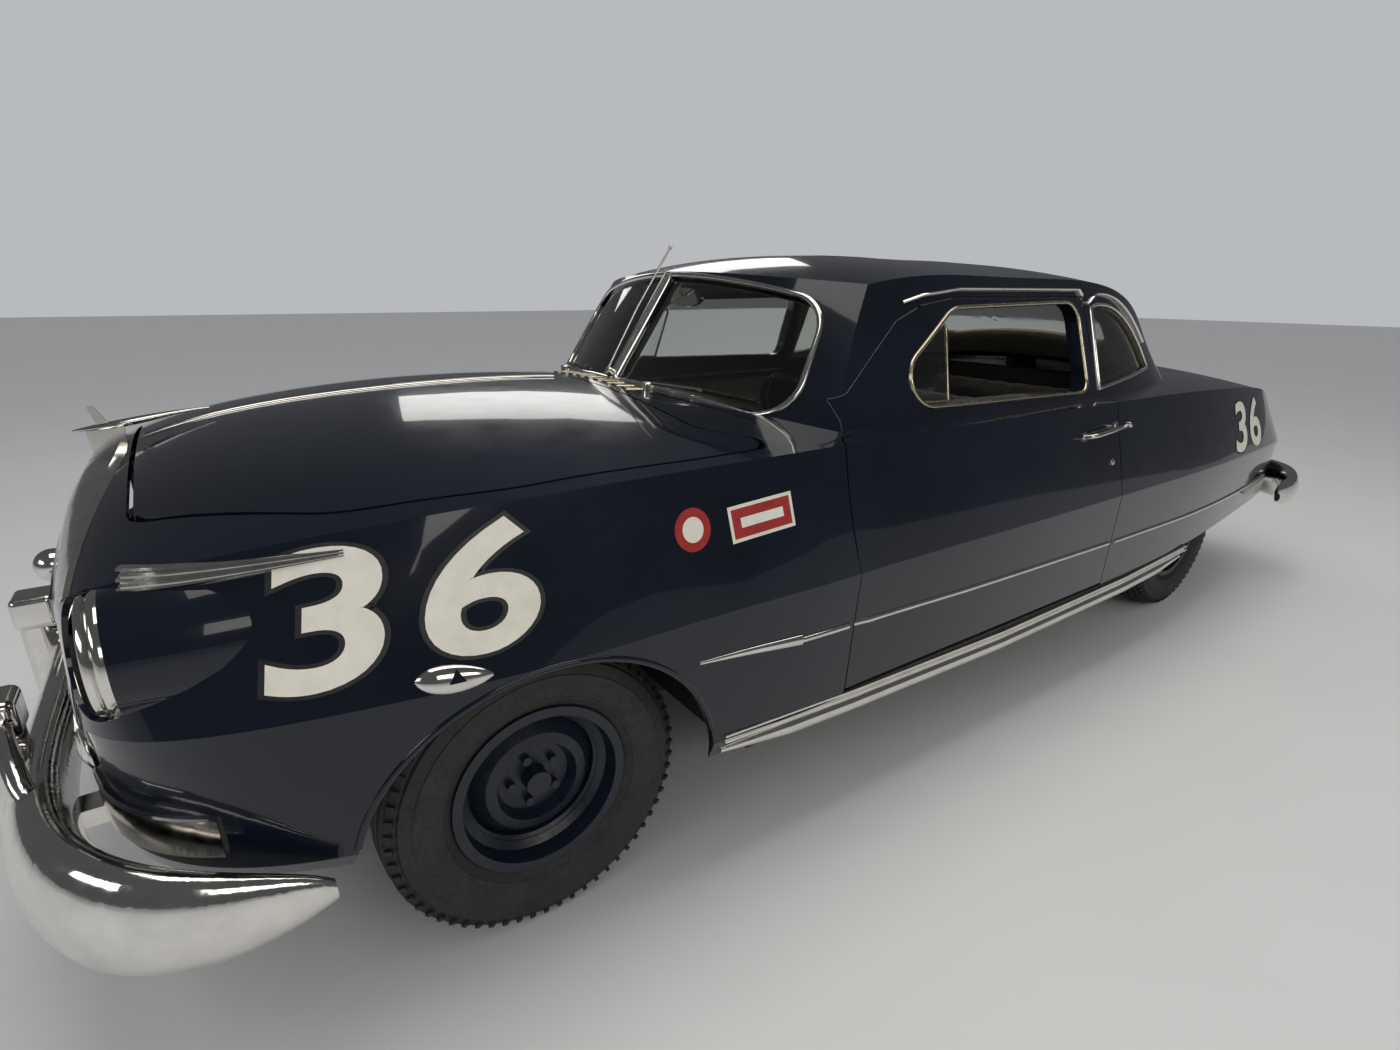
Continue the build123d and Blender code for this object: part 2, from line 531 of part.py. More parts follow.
def rim():
    """A pressed steel wheel about the Y axis, its face towards +Y, with hub, drum and nuts."""
    half = RIM_WIDTH / 2
    barrel = Polyline(
        (RIM_RADIUS, half), (RIM_RADIUS, half - 6), (TYRE_BEAD - SEAT, half - 6), (TYRE_BEAD - SEAT, half - 32),
        (160, half - 52), (160, 45 - half), (TYRE_BEAD - SEAT, 32 - half), (TYRE_BEAD - SEAT, 6 - half),
        (RIM_RADIUS, 6 - half), (RIM_RADIUS, -half), (TYRE_BEAD - 10, -half), (152, 40 - half),
        (152, half - 60), (TYRE_BEAD - 14, half - 44), (TYRE_BEAD - 8, half), close=True,
    )
    disc = Polyline(
        (152.5, half - 72), (120, half - 40), (96, half - 34), (84, half - 62), (30, half - 62),
        (30, half - 70), (88, half - 70), (100, half - 42), (118, half - 48), (152.5, half - 84), close=True,
    )
    solid = revolve(Plane.XY * make_face(barrel), Axis.Y) + revolve(Plane.XY * make_face(disc), Axis.Y)
    drum_shell = extrude(Circle(138), 62) - Pos(0, 0, 10) * extrude(Circle(130), 62)
    drum = Pos(0, half - 70, 0) * Rot(90, 0, 0) * drum_shell
    hub = Pos(0, half - 70, 0) * Rot(90, 0, 0) * (extrude(Circle(34), 56))
    hub = hub + Pos(0, half - 71, 0) * Rot(-90, 0, 0) * extrude(Circle(29), 45)
    solid = solid + drum + hub
    for n in range(LUGS):
        turn = math.radians(360 / LUGS * n + 18)
        place = Pos(LUG_CIRCLE * math.sin(turn), half - 62.5, LUG_CIRCLE * math.cos(turn))
        solid = solid + place * Rot(-90, 0, 0) * extrude(RegularPolygon(11, 6), 18)
    return solid


bore = Pos(0, -80, 0) * Rot(-90, 0, 0) * extrude(Circle(SPINDLE + SEAT), 90)
STEEL = rim() - bore
RUBBER = tyre()


def wheel_parts(x, y, side):
    """Rim and tyre of one wheel, its face turned outwards."""
    turn = Rot(0, 0, 0) if side > 0 else Rot(0, 0, 180)
    place = Pos(at(x), side * y, TYRE_RADIUS) * turn
    return place * STEEL, place * RUBBER


# Front knuckles: king pin, spindle and steering arm
KING_PIN_Y = 628


def knuckle(side):
    """One knuckle with its king pin post, spindle and rearward steering arm."""
    y = KING_PIN_Y
    post = Pos(at(0), y, 222) * extrude(Circle(24), 256)
    wheel_inner = FRONT_TRACK / 2 + RIM_WIDTH / 2 - 70 - 56
    spindle = Pos(at(0), y, TYRE_RADIUS) * Rot(-90, 0, 0) * extrude(Circle(26), wheel_inner - y - 6)
    thin = Pos(at(0), y, TYRE_RADIUS) * Rot(-90, 0, 0) * extrude(Circle(SPINDLE), wheel_inner - y + 60)
    arm = halves(-150, 0, y - 40, y - 16, 262, 282)
    shape = post + spindle + thin + arm
    return shape if side > 0 else mirror(shape, Plane.XZ)


def wishbone(z, reach, spread, inner_y):
    """One forked suspension arm from the frame out to the king pin's end."""
    tip = KING_PIN_Y
    points = [(-spread, inner_y), (spread, inner_y)]
    points += [(28, tip - 20), (28, tip + 24), (-28, tip + 24), (-28, tip - 20)]
    face = make_face(FilletPolyline(*[(at(x), y) for x, y in points], radius=10, close=True))
    window = [(40 - spread, inner_y + 40), (spread - 40, inner_y + 40), (0, reach)]
    hole = make_face(Polyline(*[(at(x), y) for x, y in window], close=True))
    return extrude(Pos(0, 0, z) * (face - hole), 22)


lower_arms = both(wishbone(222 - 22 - SEAT, 560, 170, 420 + SEAT))
upper_arms = both(wishbone(478 + SEAT, 560, 120, 424 + SEAT))
tower = halves(-110, 110, 352, 424, RAIL_TOP + SEAT, 520) - halves(-42, 42, 0, 405, 0, 352)
towers = both(tower)
coils = both(Pos(at(0), 490, 222) * extrude(Circle(48) - Circle(34), 256))

# Bumpers: bars lofted along a smooth line, with oval sections evenly spaced from the middle outwards
Oval = namedtuple("Oval", "z tall half_deep")
FRONT_LINE = [(883, 0), (879, 380), (850, 610), (755, 815), (610, 912), (436, 938)]
FRONT_OVALS = [
    Oval(450, 170, 46), Oval(450, 172, 46), Oval(450, 190, 50), Oval(446, 220, 56),
    Oval(440, 232, 56), Oval(430, 185, 42), Oval(414, 40, 12),
]
REAR_LINE = [(-4268, 0), (-4268, 430), (-4262, 640), (-4185, 825), (-4040, 908), (-3810, 936)]
REAR_OVALS = [
    Oval(470, 150, 28), Oval(470, 150, 28), Oval(470, 158, 30), Oval(470, 178, 32),
    Oval(466, 186, 36), Oval(462, 150, 32), Oval(458, 40, 12),
]


def bumper_bar(line, ovals):
    """A wrap-round bumper bar, lofted from one tip to the other through evenly spaced ovals."""
    points = [(at(x), -y) for x, y in reversed(line[1:])] + [(at(x), y) for x, y in line]
    path = Spline(*points)
    sections = list(reversed(ovals[1:])) + ovals
    faces = []
    for n, oval in enumerate(sections):
        spot = path @ (n / (len(sections) - 1))
        along = path % (n / (len(sections) - 1))
        place = Plane(origin=(spot.X, spot.Y, oval.z), x_dir=(along.Y, -along.X, 0), z_dir=along)
        faces.append((place * Ellipse(oval.half_deep, oval.tall / 2)).face())
    return loft(faces)


GUARD_Y = 310
GUARD_FRONT = FRONT_OVERHANG
GUARD_REAR = LENGTH - FRONT_OVERHANG
guard = Pos(at(GUARD_FRONT - 47), GUARD_Y, 290) * extrude(Ellipse(46, 42), 320)
guard_block = fillet(halves(GUARD_FRONT - 95, GUARD_FRONT, GUARD_Y - 52, GUARD_Y + 52, 560, 650).edges(), 18)
loop_path = Spline(
    (at(GUARD_FRONT - 70), GUARD_Y + 40, 600), (at(900), 440, 596), (at(872), 540, 545), (at(862), 560, 500),
    tangents=[(0, 1, 0.15), (0, 0.1, -1)],
)
guard_loop = sweep(Plane(loop_path @ 0, z_dir=loop_path % 0) * Circle(19), path=loop_path)
front_bumper = bumper_bar(FRONT_LINE, FRONT_OVALS)
IRON_Z = 360
iron = halves(640 + SEAT, 868, 352, 418, IRON_Z, IRON_Z + 40)
iron = iron + halves(640 + SEAT, 665, 352, 418, 230, IRON_Z + 40)
front_bumper = front_bumper + both(guard + guard_block + guard_loop) + both(iron)
rear_guard = Pos(at(43 - GUARD_REAR), GUARD_Y, 330) * extrude(Ellipse(43, 40), 290)
rear_block = fillet(halves(-GUARD_REAR, 80 - GUARD_REAR, GUARD_Y - 46, GUARD_Y + 46, 560, 630).edges(), 16)
rear_iron = halves(-4270, -4100 - SEAT, *REAR_IRON)
rear_bumper = bumper_bar(REAR_LINE, REAR_OVALS) + both(rear_guard + rear_block) + both(rear_iron)

# Grille: bright frame, two bowed level bars, a large inverted V and a plain knob above it
ring_z = (GRILLE_LOW + SEAT, GRILLE_TOP - SEAT)
frame_ring = halves(735, 765, SEAT - GRILLE_HALF, GRILLE_HALF - SEAT, *ring_z)
hole = (GRILLE_LOW + 26, GRILLE_TOP - 26)
frame_hole = halves(600, 900, 26 - GRILLE_HALF, GRILLE_HALF - 26, *hole)
grille = frame_ring - frame_hole


def bowed_bar(z, tall, bow_out, deep):
    """A level bar that bows forward in the middle, between the sides of the frame."""
    end, half = at(742), GRILLE_HALF - 10
    front = ThreePointArc((end + deep, -half), (at(742 + bow_out), 0), (end + deep, half))
    back = ThreePointArc((end, half), (at(742 + bow_out - deep), 0), (end, -half))
    face = make_face([front, Line((end + deep, half), (end, half)), back, Line((end, -half), (end + deep, -half))])
    return extrude(Pos(0, 0, z) * face, tall)


BARS = [(548, 40, 52), (628, 16, 50), (678, 16, 48), (728, 16, 46)]
grille = grille + [bowed_bar(z, tall, bow_out, 22) for z, tall, bow_out in BARS]
V_FRONT = 812
v_half = [(0, 806), (34, 806), (372, 560), (300, 560), (0, 770)]
v_wire = Polyline(*v_half, close=True)
v_bar = Pos(at(V_FRONT - 34), 0, 0) * extrude(Plane.YZ * make_face(v_wire), 34)
knob = Pos(at(829), 0, 806) * Sphere(38) + Pos(at(829), 0, 786) * Rot(0, 90, 0) * extrude(Circle(20), -60)
grille = grille + both(v_bar) + knob

# Bright nose trim: the arch over the nose, the wrap-round valance and the lamp bezels
TRIM = 9
FOOT = 16
proud = body_loft(-TRIM) - body_loft(-SEAT)
arch_outer = make_face([ThreePointArc((-668, 925), (0, 1074), (668, 925)), Line((668, 925), (-668, 925))])
arch_inner = make_face([ThreePointArc((-650, 880), (0, 1032), (650, 880)), Line((650, 880), (-650, 880))])
arch_band = Plane.YZ * arch_outer - Plane.YZ * arch_inner
nose_arch = proud & (Pos(at(640), 0, 0) * extrude(arch_band, 200))
nose_arch = nose_arch - both(lamp_axis * Pos(0, 0, -200) * extrude(Circle(BEZEL_RADIUS + 1), 300))
nose_arch = nose_arch - halves(640, 800, -FOOT / 2 - SEAT, FOOT / 2 + SEAT, 950, 1100)
VALANCE = (494, 572)
valance = proud & halves(585, 900, -1000, 1000, *VALANCE)
valance = valance - halves(600, 900, -GRILLE_HALF, GRILLE_HALF, GRILLE_LOW - 10, GRILLE_TOP)
nose_trim = [nose_arch, valance] + both(bezel)

# Nose ornament: a long low spear on a pedestal, with a small upright fin
Spear = namedtuple("Spear", "at z wide tall")
SPEAR = [
    Spear(735, 1108, 4, 3), Spear(700, 1111, 22, 12), Spear(640, 1118, 34, 18), Spear(560, 1130, 24, 13),
    Spear(470, 1139, 6, 5),
]
spear = loft([(Plane.YZ.offset(at(p.at)) * Pos(0, p.z) * Ellipse(p.wide / 2, p.tall / 2)).face() for p in SPEAR])
pedestal = across([(700, 1000), (712, 1106), (640, 1116), (648, 1000)], FOOT) - body_loft(-SEAT)
fin = across([(688, 1112), (700, 1158), (688, 1160), (664, 1114)], 5)
ornament = spear + pedestal + fin

# Seats, dash, steering
def bench(x0, x1, half, z0, z1, soft=40):
    box = halves(x0, x1, -half, half, z0, z1)
    return fillet(box.edges(), soft)


front_seat = [bench(-1960, -1440, 640, 455 + SEAT, 580)]
front_back = [bench(-2110, -1960 - SEAT, 640, 455 + SEAT, 1060)]
seat_risers = [halves(-1940, -1460, s * 400 - 200, s * 400 + 200, FLOOR_TOP + SEAT, 455) for s in (-1, 1)]
rear_seat = [bench(-2830 + SEAT, -2480, 480, 585 + SEAT, 720, 30), bench(-2940, -2830, 480, 585 + SEAT, 1020, 30)]
DASH_HALF = 830 - SEAT
dash = body_loft(SKIN + CLEAR) & halves(-850, -705, -DASH_HALF, DASH_HALF, 905, 1200)
column_dir = Vector(-0.43, 0, 0.285).normalized()
wheel_centre = Vector(at(-1170), 380, 985)
wheel_plane = Plane(origin=wheel_centre, z_dir=column_dir)
steering_wheel = wheel_plane * Torus(205, 13) + wheel_plane * Pos(0, 0, -30) * extrude(Circle(30), 40)
steering_wheel = steering_wheel + wheel_plane * Box(400, 18, 8) + wheel_plane * Box(18, 400, 8)
column = Plane(origin=wheel_centre - column_dir * (30 + SEAT), z_dir=-column_dir) * extrude(Circle(24), 790)
firewall = firewall - Plane(origin=wheel_centre, z_dir=-column_dir) * extrude(Circle(24 + SEAT), 900)
column = column + halves(-790, -740, 368, 392, 720, 905 - SEAT)


save("front_clip", front_clip)
save("hood", hood)
save("quarters", quarters)
save("deck_lid", deck_lid)
save("door_left", door_left)
save("door_right", mirror(door_left, Plane.XZ))
save("roof", roof)
save("windshield", windshield)
save("rear_window", rear_window)
save("quarter_glass", quarter_glass)
save("firewall", firewall)
save("floor", floor)
save("frame_rails", frame)
save("engine", engine)
save("drive_shaft", drive_shaft)
save("rear_axle", axle)
save("leaf_springs", springs)
save("fuel_tank", fuel_tank)
save("exhaust", exhaust)
save("lower_arms", lower_arms)
save("upper_arms", upper_arms + towers)
save("coil_springs", coils)
save("front_bumper", front_bumper)
save("rear_bumper", rear_bumper)
save("headlamps", headlamps)
save("tail_lamps", tail_lamps)
save("grille", grille)
save("nose_trim", nose_trim)
save("nose_ornament", ornament)
save("front_seat", front_seat + front_back)
save("seat_risers", seat_risers)
save("rear_seat", rear_seat)
save("dash", dash)
save("steering_wheel", steering_wheel)
save("steering_column", column)
save("knuckle_left", knuckle(1))
save("knuckle_right", knuckle(-1))
CORNERS = [
    ("front_left", 0, FRONT_TRACK / 2, 1),
    ("front_right", 0, FRONT_TRACK / 2, -1),
    ("rear_left", -WHEELBASE, REAR_TRACK / 2, 1),
    ("rear_right", -WHEELBASE, REAR_TRACK / 2, -1),
]
for name, x, y, side in CORNERS:
    steel, rubber = wheel_parts(x, y, side)
    save(f"rim_{name}", steel)
    save(f"tyre_{name}", rubber)
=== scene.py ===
import math
from collections import namedtuple

import bmesh
import bpy
from bpy.props import FloatProperty, FloatVectorProperty, IntProperty, PointerProperty
from mathutils import Matrix, Vector
from mathutils.bvhtree import BVHTree


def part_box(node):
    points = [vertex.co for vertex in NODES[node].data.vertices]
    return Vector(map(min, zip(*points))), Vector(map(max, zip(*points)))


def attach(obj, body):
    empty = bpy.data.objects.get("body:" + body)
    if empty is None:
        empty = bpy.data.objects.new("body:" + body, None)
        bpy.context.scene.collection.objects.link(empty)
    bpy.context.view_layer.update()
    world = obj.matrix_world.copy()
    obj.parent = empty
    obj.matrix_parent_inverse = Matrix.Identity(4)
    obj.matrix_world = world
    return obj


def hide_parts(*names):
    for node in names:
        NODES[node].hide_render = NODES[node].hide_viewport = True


bl_info = {
    "name": "Stock car finish",
    "version": (1, 0, 0),
    "blender": (4, 5, 0),
    "location": "View3D > Sidebar > Stock car",
    "description": "Paint, bright trim, tyres, cabin and studio around the packed stock car",
    "category": "Object",
}

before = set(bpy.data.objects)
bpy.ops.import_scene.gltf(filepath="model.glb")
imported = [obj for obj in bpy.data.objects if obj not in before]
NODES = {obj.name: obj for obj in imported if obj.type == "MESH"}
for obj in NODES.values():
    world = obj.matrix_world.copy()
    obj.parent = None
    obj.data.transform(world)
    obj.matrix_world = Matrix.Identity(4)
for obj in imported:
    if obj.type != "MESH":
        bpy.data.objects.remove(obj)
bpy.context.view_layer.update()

# Places are metres in the car's frame. Lengths along the car are from the front axle.
WHEEL_LOW, WHEEL_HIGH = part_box("tyre_front_left")
REAR_LOW, REAR_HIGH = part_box("tyre_rear_left")
FRONT_AXLE = (WHEEL_LOW.x + WHEEL_HIGH.x) / 2
REAR_AXLE = (REAR_LOW.x + REAR_HIGH.x) / 2
TYRE_RADIUS = (WHEEL_HIGH.z - WHEEL_LOW.z) / 2
TYRE_HALF = (WHEEL_HIGH.y - WHEEL_LOW.y) / 2
FRONT_TRACK_HALF = (WHEEL_HIGH.y + WHEEL_LOW.y) / 2
REAR_TRACK_HALF = (REAR_HIGH.y + REAR_LOW.y) / 2
PANELS = ("front_clip", "hood", "quarters", "deck_lid", "door_left", "door_right", "roof", "floor")
SIDES = ((1, "left"), (-1, "right"))
AXLES = (("front", FRONT_AXLE, FRONT_TRACK_HALF), ("rear", REAR_AXLE, REAR_TRACK_HALF))
WHEELS = [(f"{end}_{word}", axle, half_track * side) for end, axle, half_track in AXLES for side, word in SIDES]


def colour(name, description, default):
    """A colour that can be set in the panel."""
    return FloatVectorProperty(
        name=name, description=description, subtype="COLOR", size=3, min=0, max=1, default=default)


def amount(name, description, default, low, high, unit="NONE"):
    """A number that can be set in the panel."""
    return FloatProperty(name=name, description=description, default=default, min=low, max=high, unit=unit)


def length(name, description, default, low, high):
    """A length that can be set in the panel."""
    return amount(name, description, default, low, high, "LENGTH")


class CarFinish(bpy.types.PropertyGroup):
    """Colours of the car's own finishes."""

    paint: colour("Body paint", "Colour of the body panels", (0.0045, 0.0068, 0.0130))
    number: colour("Numbers", "Colour of the painted numbers", (0.76, 0.72, 0.62))
    bright: colour("Bright metal", "Tint of the plated trim", (0.80, 0.78, 0.74))
    wheel: colour("Wheels", "Colour of the painted steel wheels", (0.006, 0.009, 0.016))
    rubber: colour("Tyres", "Colour of the tyre rubber", (0.014, 0.0135, 0.013))
    seat: colour("Seats", "Colour of the seat cloth", (0.060, 0.052, 0.042))
    dash: colour("Dash", "Colour of the dash and window rails", (0.16, 0.115, 0.065))


class CarTrim(bpy.types.PropertyGroup):
    """Sizes of the bright trim and of the numbers."""

    side_strip: length("Side strip", "Height of the strip along the body side", 0.016, 0.004, 0.05)
    window_band: length("Window surround", "Width of the bright window surrounds", 0.018, 0.005, 0.04)
    number_height: length("Number height", "Height of the number on the front fenders", 0.232, 0.05, 0.4)
    number_value: IntProperty(
        name="Race number", description="Plain number painted on the body", default=36, min=0, max=99)
    tread_lugs: IntProperty(
        name="Shoulder lugs", description="Lugs round each shoulder of a tyre", default=62, min=20, max=90)


class CarStudio(bpy.types.PropertyGroup):
    """The floor, lamps and camera."""

    floor: colour("Floor", "Colour of the floor", (0.66, 0.655, 0.64))
    lamp_power: amount("Lamp power", "Power of the large overhead lamp, in watts", 120.0, 0, 5000)
    room_light: amount("Room light", "Strength of the even light from all round", 0.66, 0, 5)
    room_mirror: amount("Room in reflections", "Strength of the room where gloss reflects it", 0.10, 0, 5)
    backdrop: amount("Backdrop", "Strength of the room where the camera sees it", 0.60, 0, 5)
    lens: amount("Lens", "Focal length of the camera in millimetres", 18.51, 8, 120)


def at(place):
    """Car X of a place measured from the front axle."""
    return FRONT_AXLE + place


# Materials


def shader(name, colour, roughness, metallic=0.0, **sockets):
    """A new node material, with what is even all over set on the shader's own sockets."""
    material = bpy.data.materials.new(name)
    material.use_nodes = True
    surface = material.node_tree.nodes["Principled BSDF"]
    surface.inputs["Base Color"].default_value = (*colour, 1)
    surface.inputs["Roughness"].default_value = roughness
    surface.inputs["Metallic"].default_value = metallic
    for key, value in sockets.items():
        surface.inputs[key.replace("_", " ")].default_value = value
    return material


def node(material, kind, **values):
    """A node in a material's tree, with its sockets and settings filled by name."""
    made = material.node_tree.nodes.new(kind)
    for key, value in values.items():
        socket = key.replace("_", " ")
        if socket in made.inputs:
            made.inputs[socket].default_value = value
        else:
            setattr(made, key, value)
    return made


def link(material, out, into):
    material.node_tree.links.new(out, into)


def principled(material):
    return material.node_tree.nodes["Principled BSDF"]


def speckle(material, scale, detail=3.0, rough=0.5):
    """Noise over the piece's own coordinates."""
    where = node(material, "ShaderNodeTexCoord")
    noise = node(material, "ShaderNodeTexNoise", Scale=scale, Detail=detail, Roughness=rough)
    link(material, where.outputs["Object"], noise.inputs["Vector"])
    return noise.outputs["Fac"]


def spread(material, factor, low, high):
    """A factor mapped to a range of values."""
    ranged = node(material, "ShaderNodeMapRange", From_Min=0.3, From_Max=0.7, To_Min=low, To_Max=high)
    link(material, factor, ranged.inputs["Value"])
    return ranged.outputs["Result"]


def uneven(material, factor, low, high):
    """A roughness that varies over a range."""
    link(material, spread(material, factor, low, high), principled(material).inputs["Roughness"])


def tint(material, factor, first, second):
    """A colour that varies between two, linked to the base colour."""
    mix = node(material, "ShaderNodeMix", data_type="RGBA")
    mix.inputs["A"].default_value = (*first, 1)
    mix.inputs["B"].default_value = (*second, 1)
    link(material, spread(material, factor, 0.0, 1.0), mix.inputs["Factor"])
    link(material, mix.outputs["Result"], principled(material).inputs["Base Color"])


def relief(material, height, strength, distance):
    """Bump from a height, linked to the surface."""
    bump = node(material, "ShaderNodeBump", Strength=strength, Distance=distance)
    link(material, height, bump.inputs["Height"])
    link(material, bump.outputs["Normal"], principled(material).inputs["Normal"])


def shade(colour, factor):
    return tuple(min(1.0, c * factor) for c in colour)


def body_paint(finish):
    """Deep navy lacquer with a faint haze in broad patches."""
    colour = tuple(finish.paint)
    paint = shader("body_paint", colour, 0.2, Specular_IOR_Level=0.12,
                   Coat_Weight=1.0, Coat_Roughness=0.03, Coat_IOR=1.42)
    tint(paint, speckle(paint, 2.2, 4.0, 0.6), shade(colour, 0.8), shade(colour, 1.35))
    uneven(paint, speckle(paint, 9.0, 5.0, 0.6), 0.12, 0.26)
    relief(paint, speckle(paint, 160.0, 1.0, 0.4), 0.02, 0.0004)
    return paint


def plated(name, colour, roughness=0.07):
    """Plated metal with faint pitting, and dull patches where it has worn."""
    metal = shader(name, colour, roughness, 1.0)
    tint(metal, speckle(metal, 14.0, 6.0, 0.65), shade(colour, 0.86), shade(colour, 1.06))
    uneven(metal, speckle(metal, 30.0, 6.0, 0.7), roughness * 0.6, roughness * 2.4)
    relief(metal, speckle(metal, 420.0, 3.0, 0.6), 0.05, 0.0003)
    return metal


def painted_steel(name, colour, roughness, dust=1.6):
    """Satin paint with dust and small chips in its colour."""
    steel = shader(name, colour, roughness)
    tint(steel, speckle(steel, 26.0, 6.0, 0.65), colour, shade(colour, dust))
    uneven(steel, speckle(steel, 60.0, 4.0, 0.6), roughness * 0.75, roughness * 1.3)
    relief(steel, speckle(steel, 350.0, 2.0, 0.5), 0.12, 0.0006)
    return steel


def tyre_rubber(colour):
    """Black rubber, dusty grey in random patches."""
    rubber = shader("tyre_rubber", colour, 0.62)
    tint(rubber, speckle(rubber, 20.0, 8.0, 0.7), colour, shade(colour, 2.0))
    uneven(rubber, speckle(rubber, 90.0, 4.0, 0.6), 0.5, 0.78)
    relief(rubber, speckle(rubber, 700.0, 3.0, 0.6), 0.25, 0.0006)
    return rubber


def window_glass():
    """Old clear glass with a warm green edge and a film of dust."""
    glass = shader("window_glass", (0.90, 0.93, 0.88), 0.0, Transmission_Weight=1.0, IOR=1.45)
    uneven(glass, speckle(glass, 12.0, 6.0, 0.7), 0.0, 0.035)
    return glass


def woven(name, colour, threads=42.0):
    """Coarse cloth: two crossed threads in the relief, and mottled colour."""
    cloth = shader(name, colour, 0.85, Sheen_Weight=0.35, Sheen_Roughness=0.5)
    where = node(cloth, "ShaderNodeTexCoord")
    waves = []
    for direction in ("X", "Z"):
        wave = node(cloth, "ShaderNodeTexWave", Scale=threads, Distortion=0.4, Detail=1.0,
                    bands_direction=direction)
        link(cloth, where.outputs["Object"], wave.inputs["Vector"])
        waves.append(wave.outputs["Fac"])
    crossed = node(cloth, "ShaderNodeMath", operation="MAXIMUM")
    for i, wave in enumerate(waves):
        link(cloth, wave, crossed.inputs[i])
    relief(cloth, crossed.outputs["Value"], 0.35, 0.001)
    tint(cloth, speckle(cloth, 60.0, 5.0, 0.7), shade(colour, 0.72), shade(colour, 1.3))
    return cloth


def lamp_glass(name, colour, roughness=0.12, transmission=0.4):
    """A fluted lamp lens."""
    lens = shader(name, colour, roughness, Transmission_Weight=transmission,
                  Coat_Weight=1.0, Coat_Roughness=0.03)
    where = node(lens, "ShaderNodeTexCoord")
    wave = node(lens, "ShaderNodeTexWave", Scale=26.0, bands_direction="Y")
    link(lens, where.outputs["Object"], wave.inputs["Vector"])
    relief(lens, wave.outputs["Fac"], 0.5, 0.002)
    tint(lens, speckle(lens, 40.0), shade(colour, 0.85), shade(colour, 1.1))
    return lens


MATERIALS = {}


def material(name):
    return MATERIALS[name]


# Meshes


def mesh_of(name, bm):
    """A mesh made of a bmesh, which is used up."""
    mesh = bpy.data.meshes.new(name)
    bm.to_mesh(mesh)
    bm.free()
    return mesh


def in_scene(name, data):
    """An object of some data, in the scene."""
    made = bpy.data.objects.new(name, data)
    bpy.context.scene.collection.objects.link(made)
    return made


def finished(name, bm, body="body", slot="chrome", surface=None, angle=38):
    """Turn a bmesh into a piece in the car's frame that rides on a body."""
    bmesh.ops.recalc_face_normals(bm, faces=bm.faces)
    return placed(name, mesh_of(name, bm), body, surface or slot, angle)


def placed(name, mesh, body, surface, angle):
    """Make a piece of a mesh that is already in place."""
    piece = in_scene(name, mesh)
    mesh.materials.clear()
    mesh.materials.append(material(surface))
    mesh.shade_smooth()
    mesh.set_sharp_from_angle(angle=math.radians(angle))
    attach(piece, body)
    return piece


def skin_tree(*names):
    """A search tree over the faces of some nodes."""
    points, faces = [], []
    for name in names:
        mesh = NODES[name].data
        start = len(points)
        points += [v.co.copy() for v in mesh.vertices]
        faces += [[start + i for i in p.vertices] for p in mesh.polygons]
    return BVHTree.FromPolygons(points, faces)


SKIN = skin_tree(*PANELS)
# How far back from a place a search for the skin starts, and how far out from the car's middle the places
# lie that a side search and a flat outline start from
SEARCH = 3.0
NEAR, BESIDE = 0.90, 0.95
# A height above the whole car
ABOVE = 2.0


def drop_to_skin(point, direction, tree=SKIN):
    """Where a line from outside meets the body, and the surface's direction there."""
    direction = Vector(direction).normalized()
    spot, normal, _, _ = tree.ray_cast(Vector(point) - direction * SEARCH, direction)
    if spot is None:
        raise RuntimeError(f"nothing under {tuple(round(c, 3) for c in point)}")
    if normal.dot(direction) > 0:
        normal = -normal
    return spot, normal


def side_spot(place, height, side):
    """Where the body side is, at a place along the car and a height."""
    return drop_to_skin((at(place), NEAR * side, height), (0, -side, 0))


def beside(point, side):
    """A point next to the body, from a flat place of (along, height)."""
    return Vector((at(point[0]), BESIDE * side, point[1]))


def rounded(points, radii, steps=8):
    """A closed flat outline with its corners rounded, as more points."""
    found = []
    for i, radius in enumerate(radii):
        here = Vector(points[i])
        before = (Vector(points[i - 1]) - here).normalized()
        after = (Vector(points[(i + 1) % len(points)]) - here).normalized()
        half = before.angle(after) / 2
        reach = radius / math.tan(half)
        centre = here + (before + after).normalized() * (radius / math.sin(half))
        first = here + before * reach - centre
        last = here + after * reach - centre
        turn = first.angle(last)
        for s in range(steps + 1):
            t = s / steps
            swung = first * math.sin((1 - t) * turn) + last * math.sin(t * turn)
            found.append(centre + swung / math.sin(turn))
    return found


def dense(points, gap, closed=False):
    """The same line with points no further apart than a gap."""
    found = []
    for first, second in zip(points, points[1:] + (points[:1] if closed else [])):
        parts = max(1, math.ceil((Vector(second) - Vector(first)).length / gap))
        found += [Vector(first).lerp(Vector(second), k / parts) for k in range(parts)]
    if not closed:
        found.append(Vector(points[-1]))
    return found


def arc(first, middle, last, steps=14):
    """Points along the circle through three flat points."""
    (ax, ay), (bx, by), (cx, cy) = first, middle, last
    d = 2 * (ax * (by - cy) + bx * (cy - ay) + cx * (ay - by))
    a2, b2, c2 = ax * ax + ay * ay, bx * bx + by * by, cx * cx + cy * cy
    centre = Vector(((a2 * (by - cy) + b2 * (cy - ay) + c2 * (ay - by)) / d,
                     (a2 * (cx - bx) + b2 * (ax - cx) + c2 * (bx - ax)) / d))
    start, half, end = (Vector(p) - centre for p in (first, middle, last))
    turn = start.angle_signed(half) + half.angle_signed(end)
    found = []
    for i in range(steps + 1):
        t = -turn * i / steps
        found.append(centre + Vector((start.x * math.cos(t) - start.y * math.sin(t),
                                      start.x * math.sin(t) + start.y * math.cos(t))))
    return found


def grown(points, by):
    """A closed flat outline moved outwards."""
    count = len(points)
    area = sum(points[i - 1].x * points[i].y - points[i].x * points[i - 1].y for i in range(count))
    found = []
    for i, point in enumerate(points):
        along = (points[(i + 1) % count] - points[i - 1]).normalized()
        away = Vector((along.y, -along.x)) * (1 if area > 0 else -1)
        found.append(point + away * by)
    return found


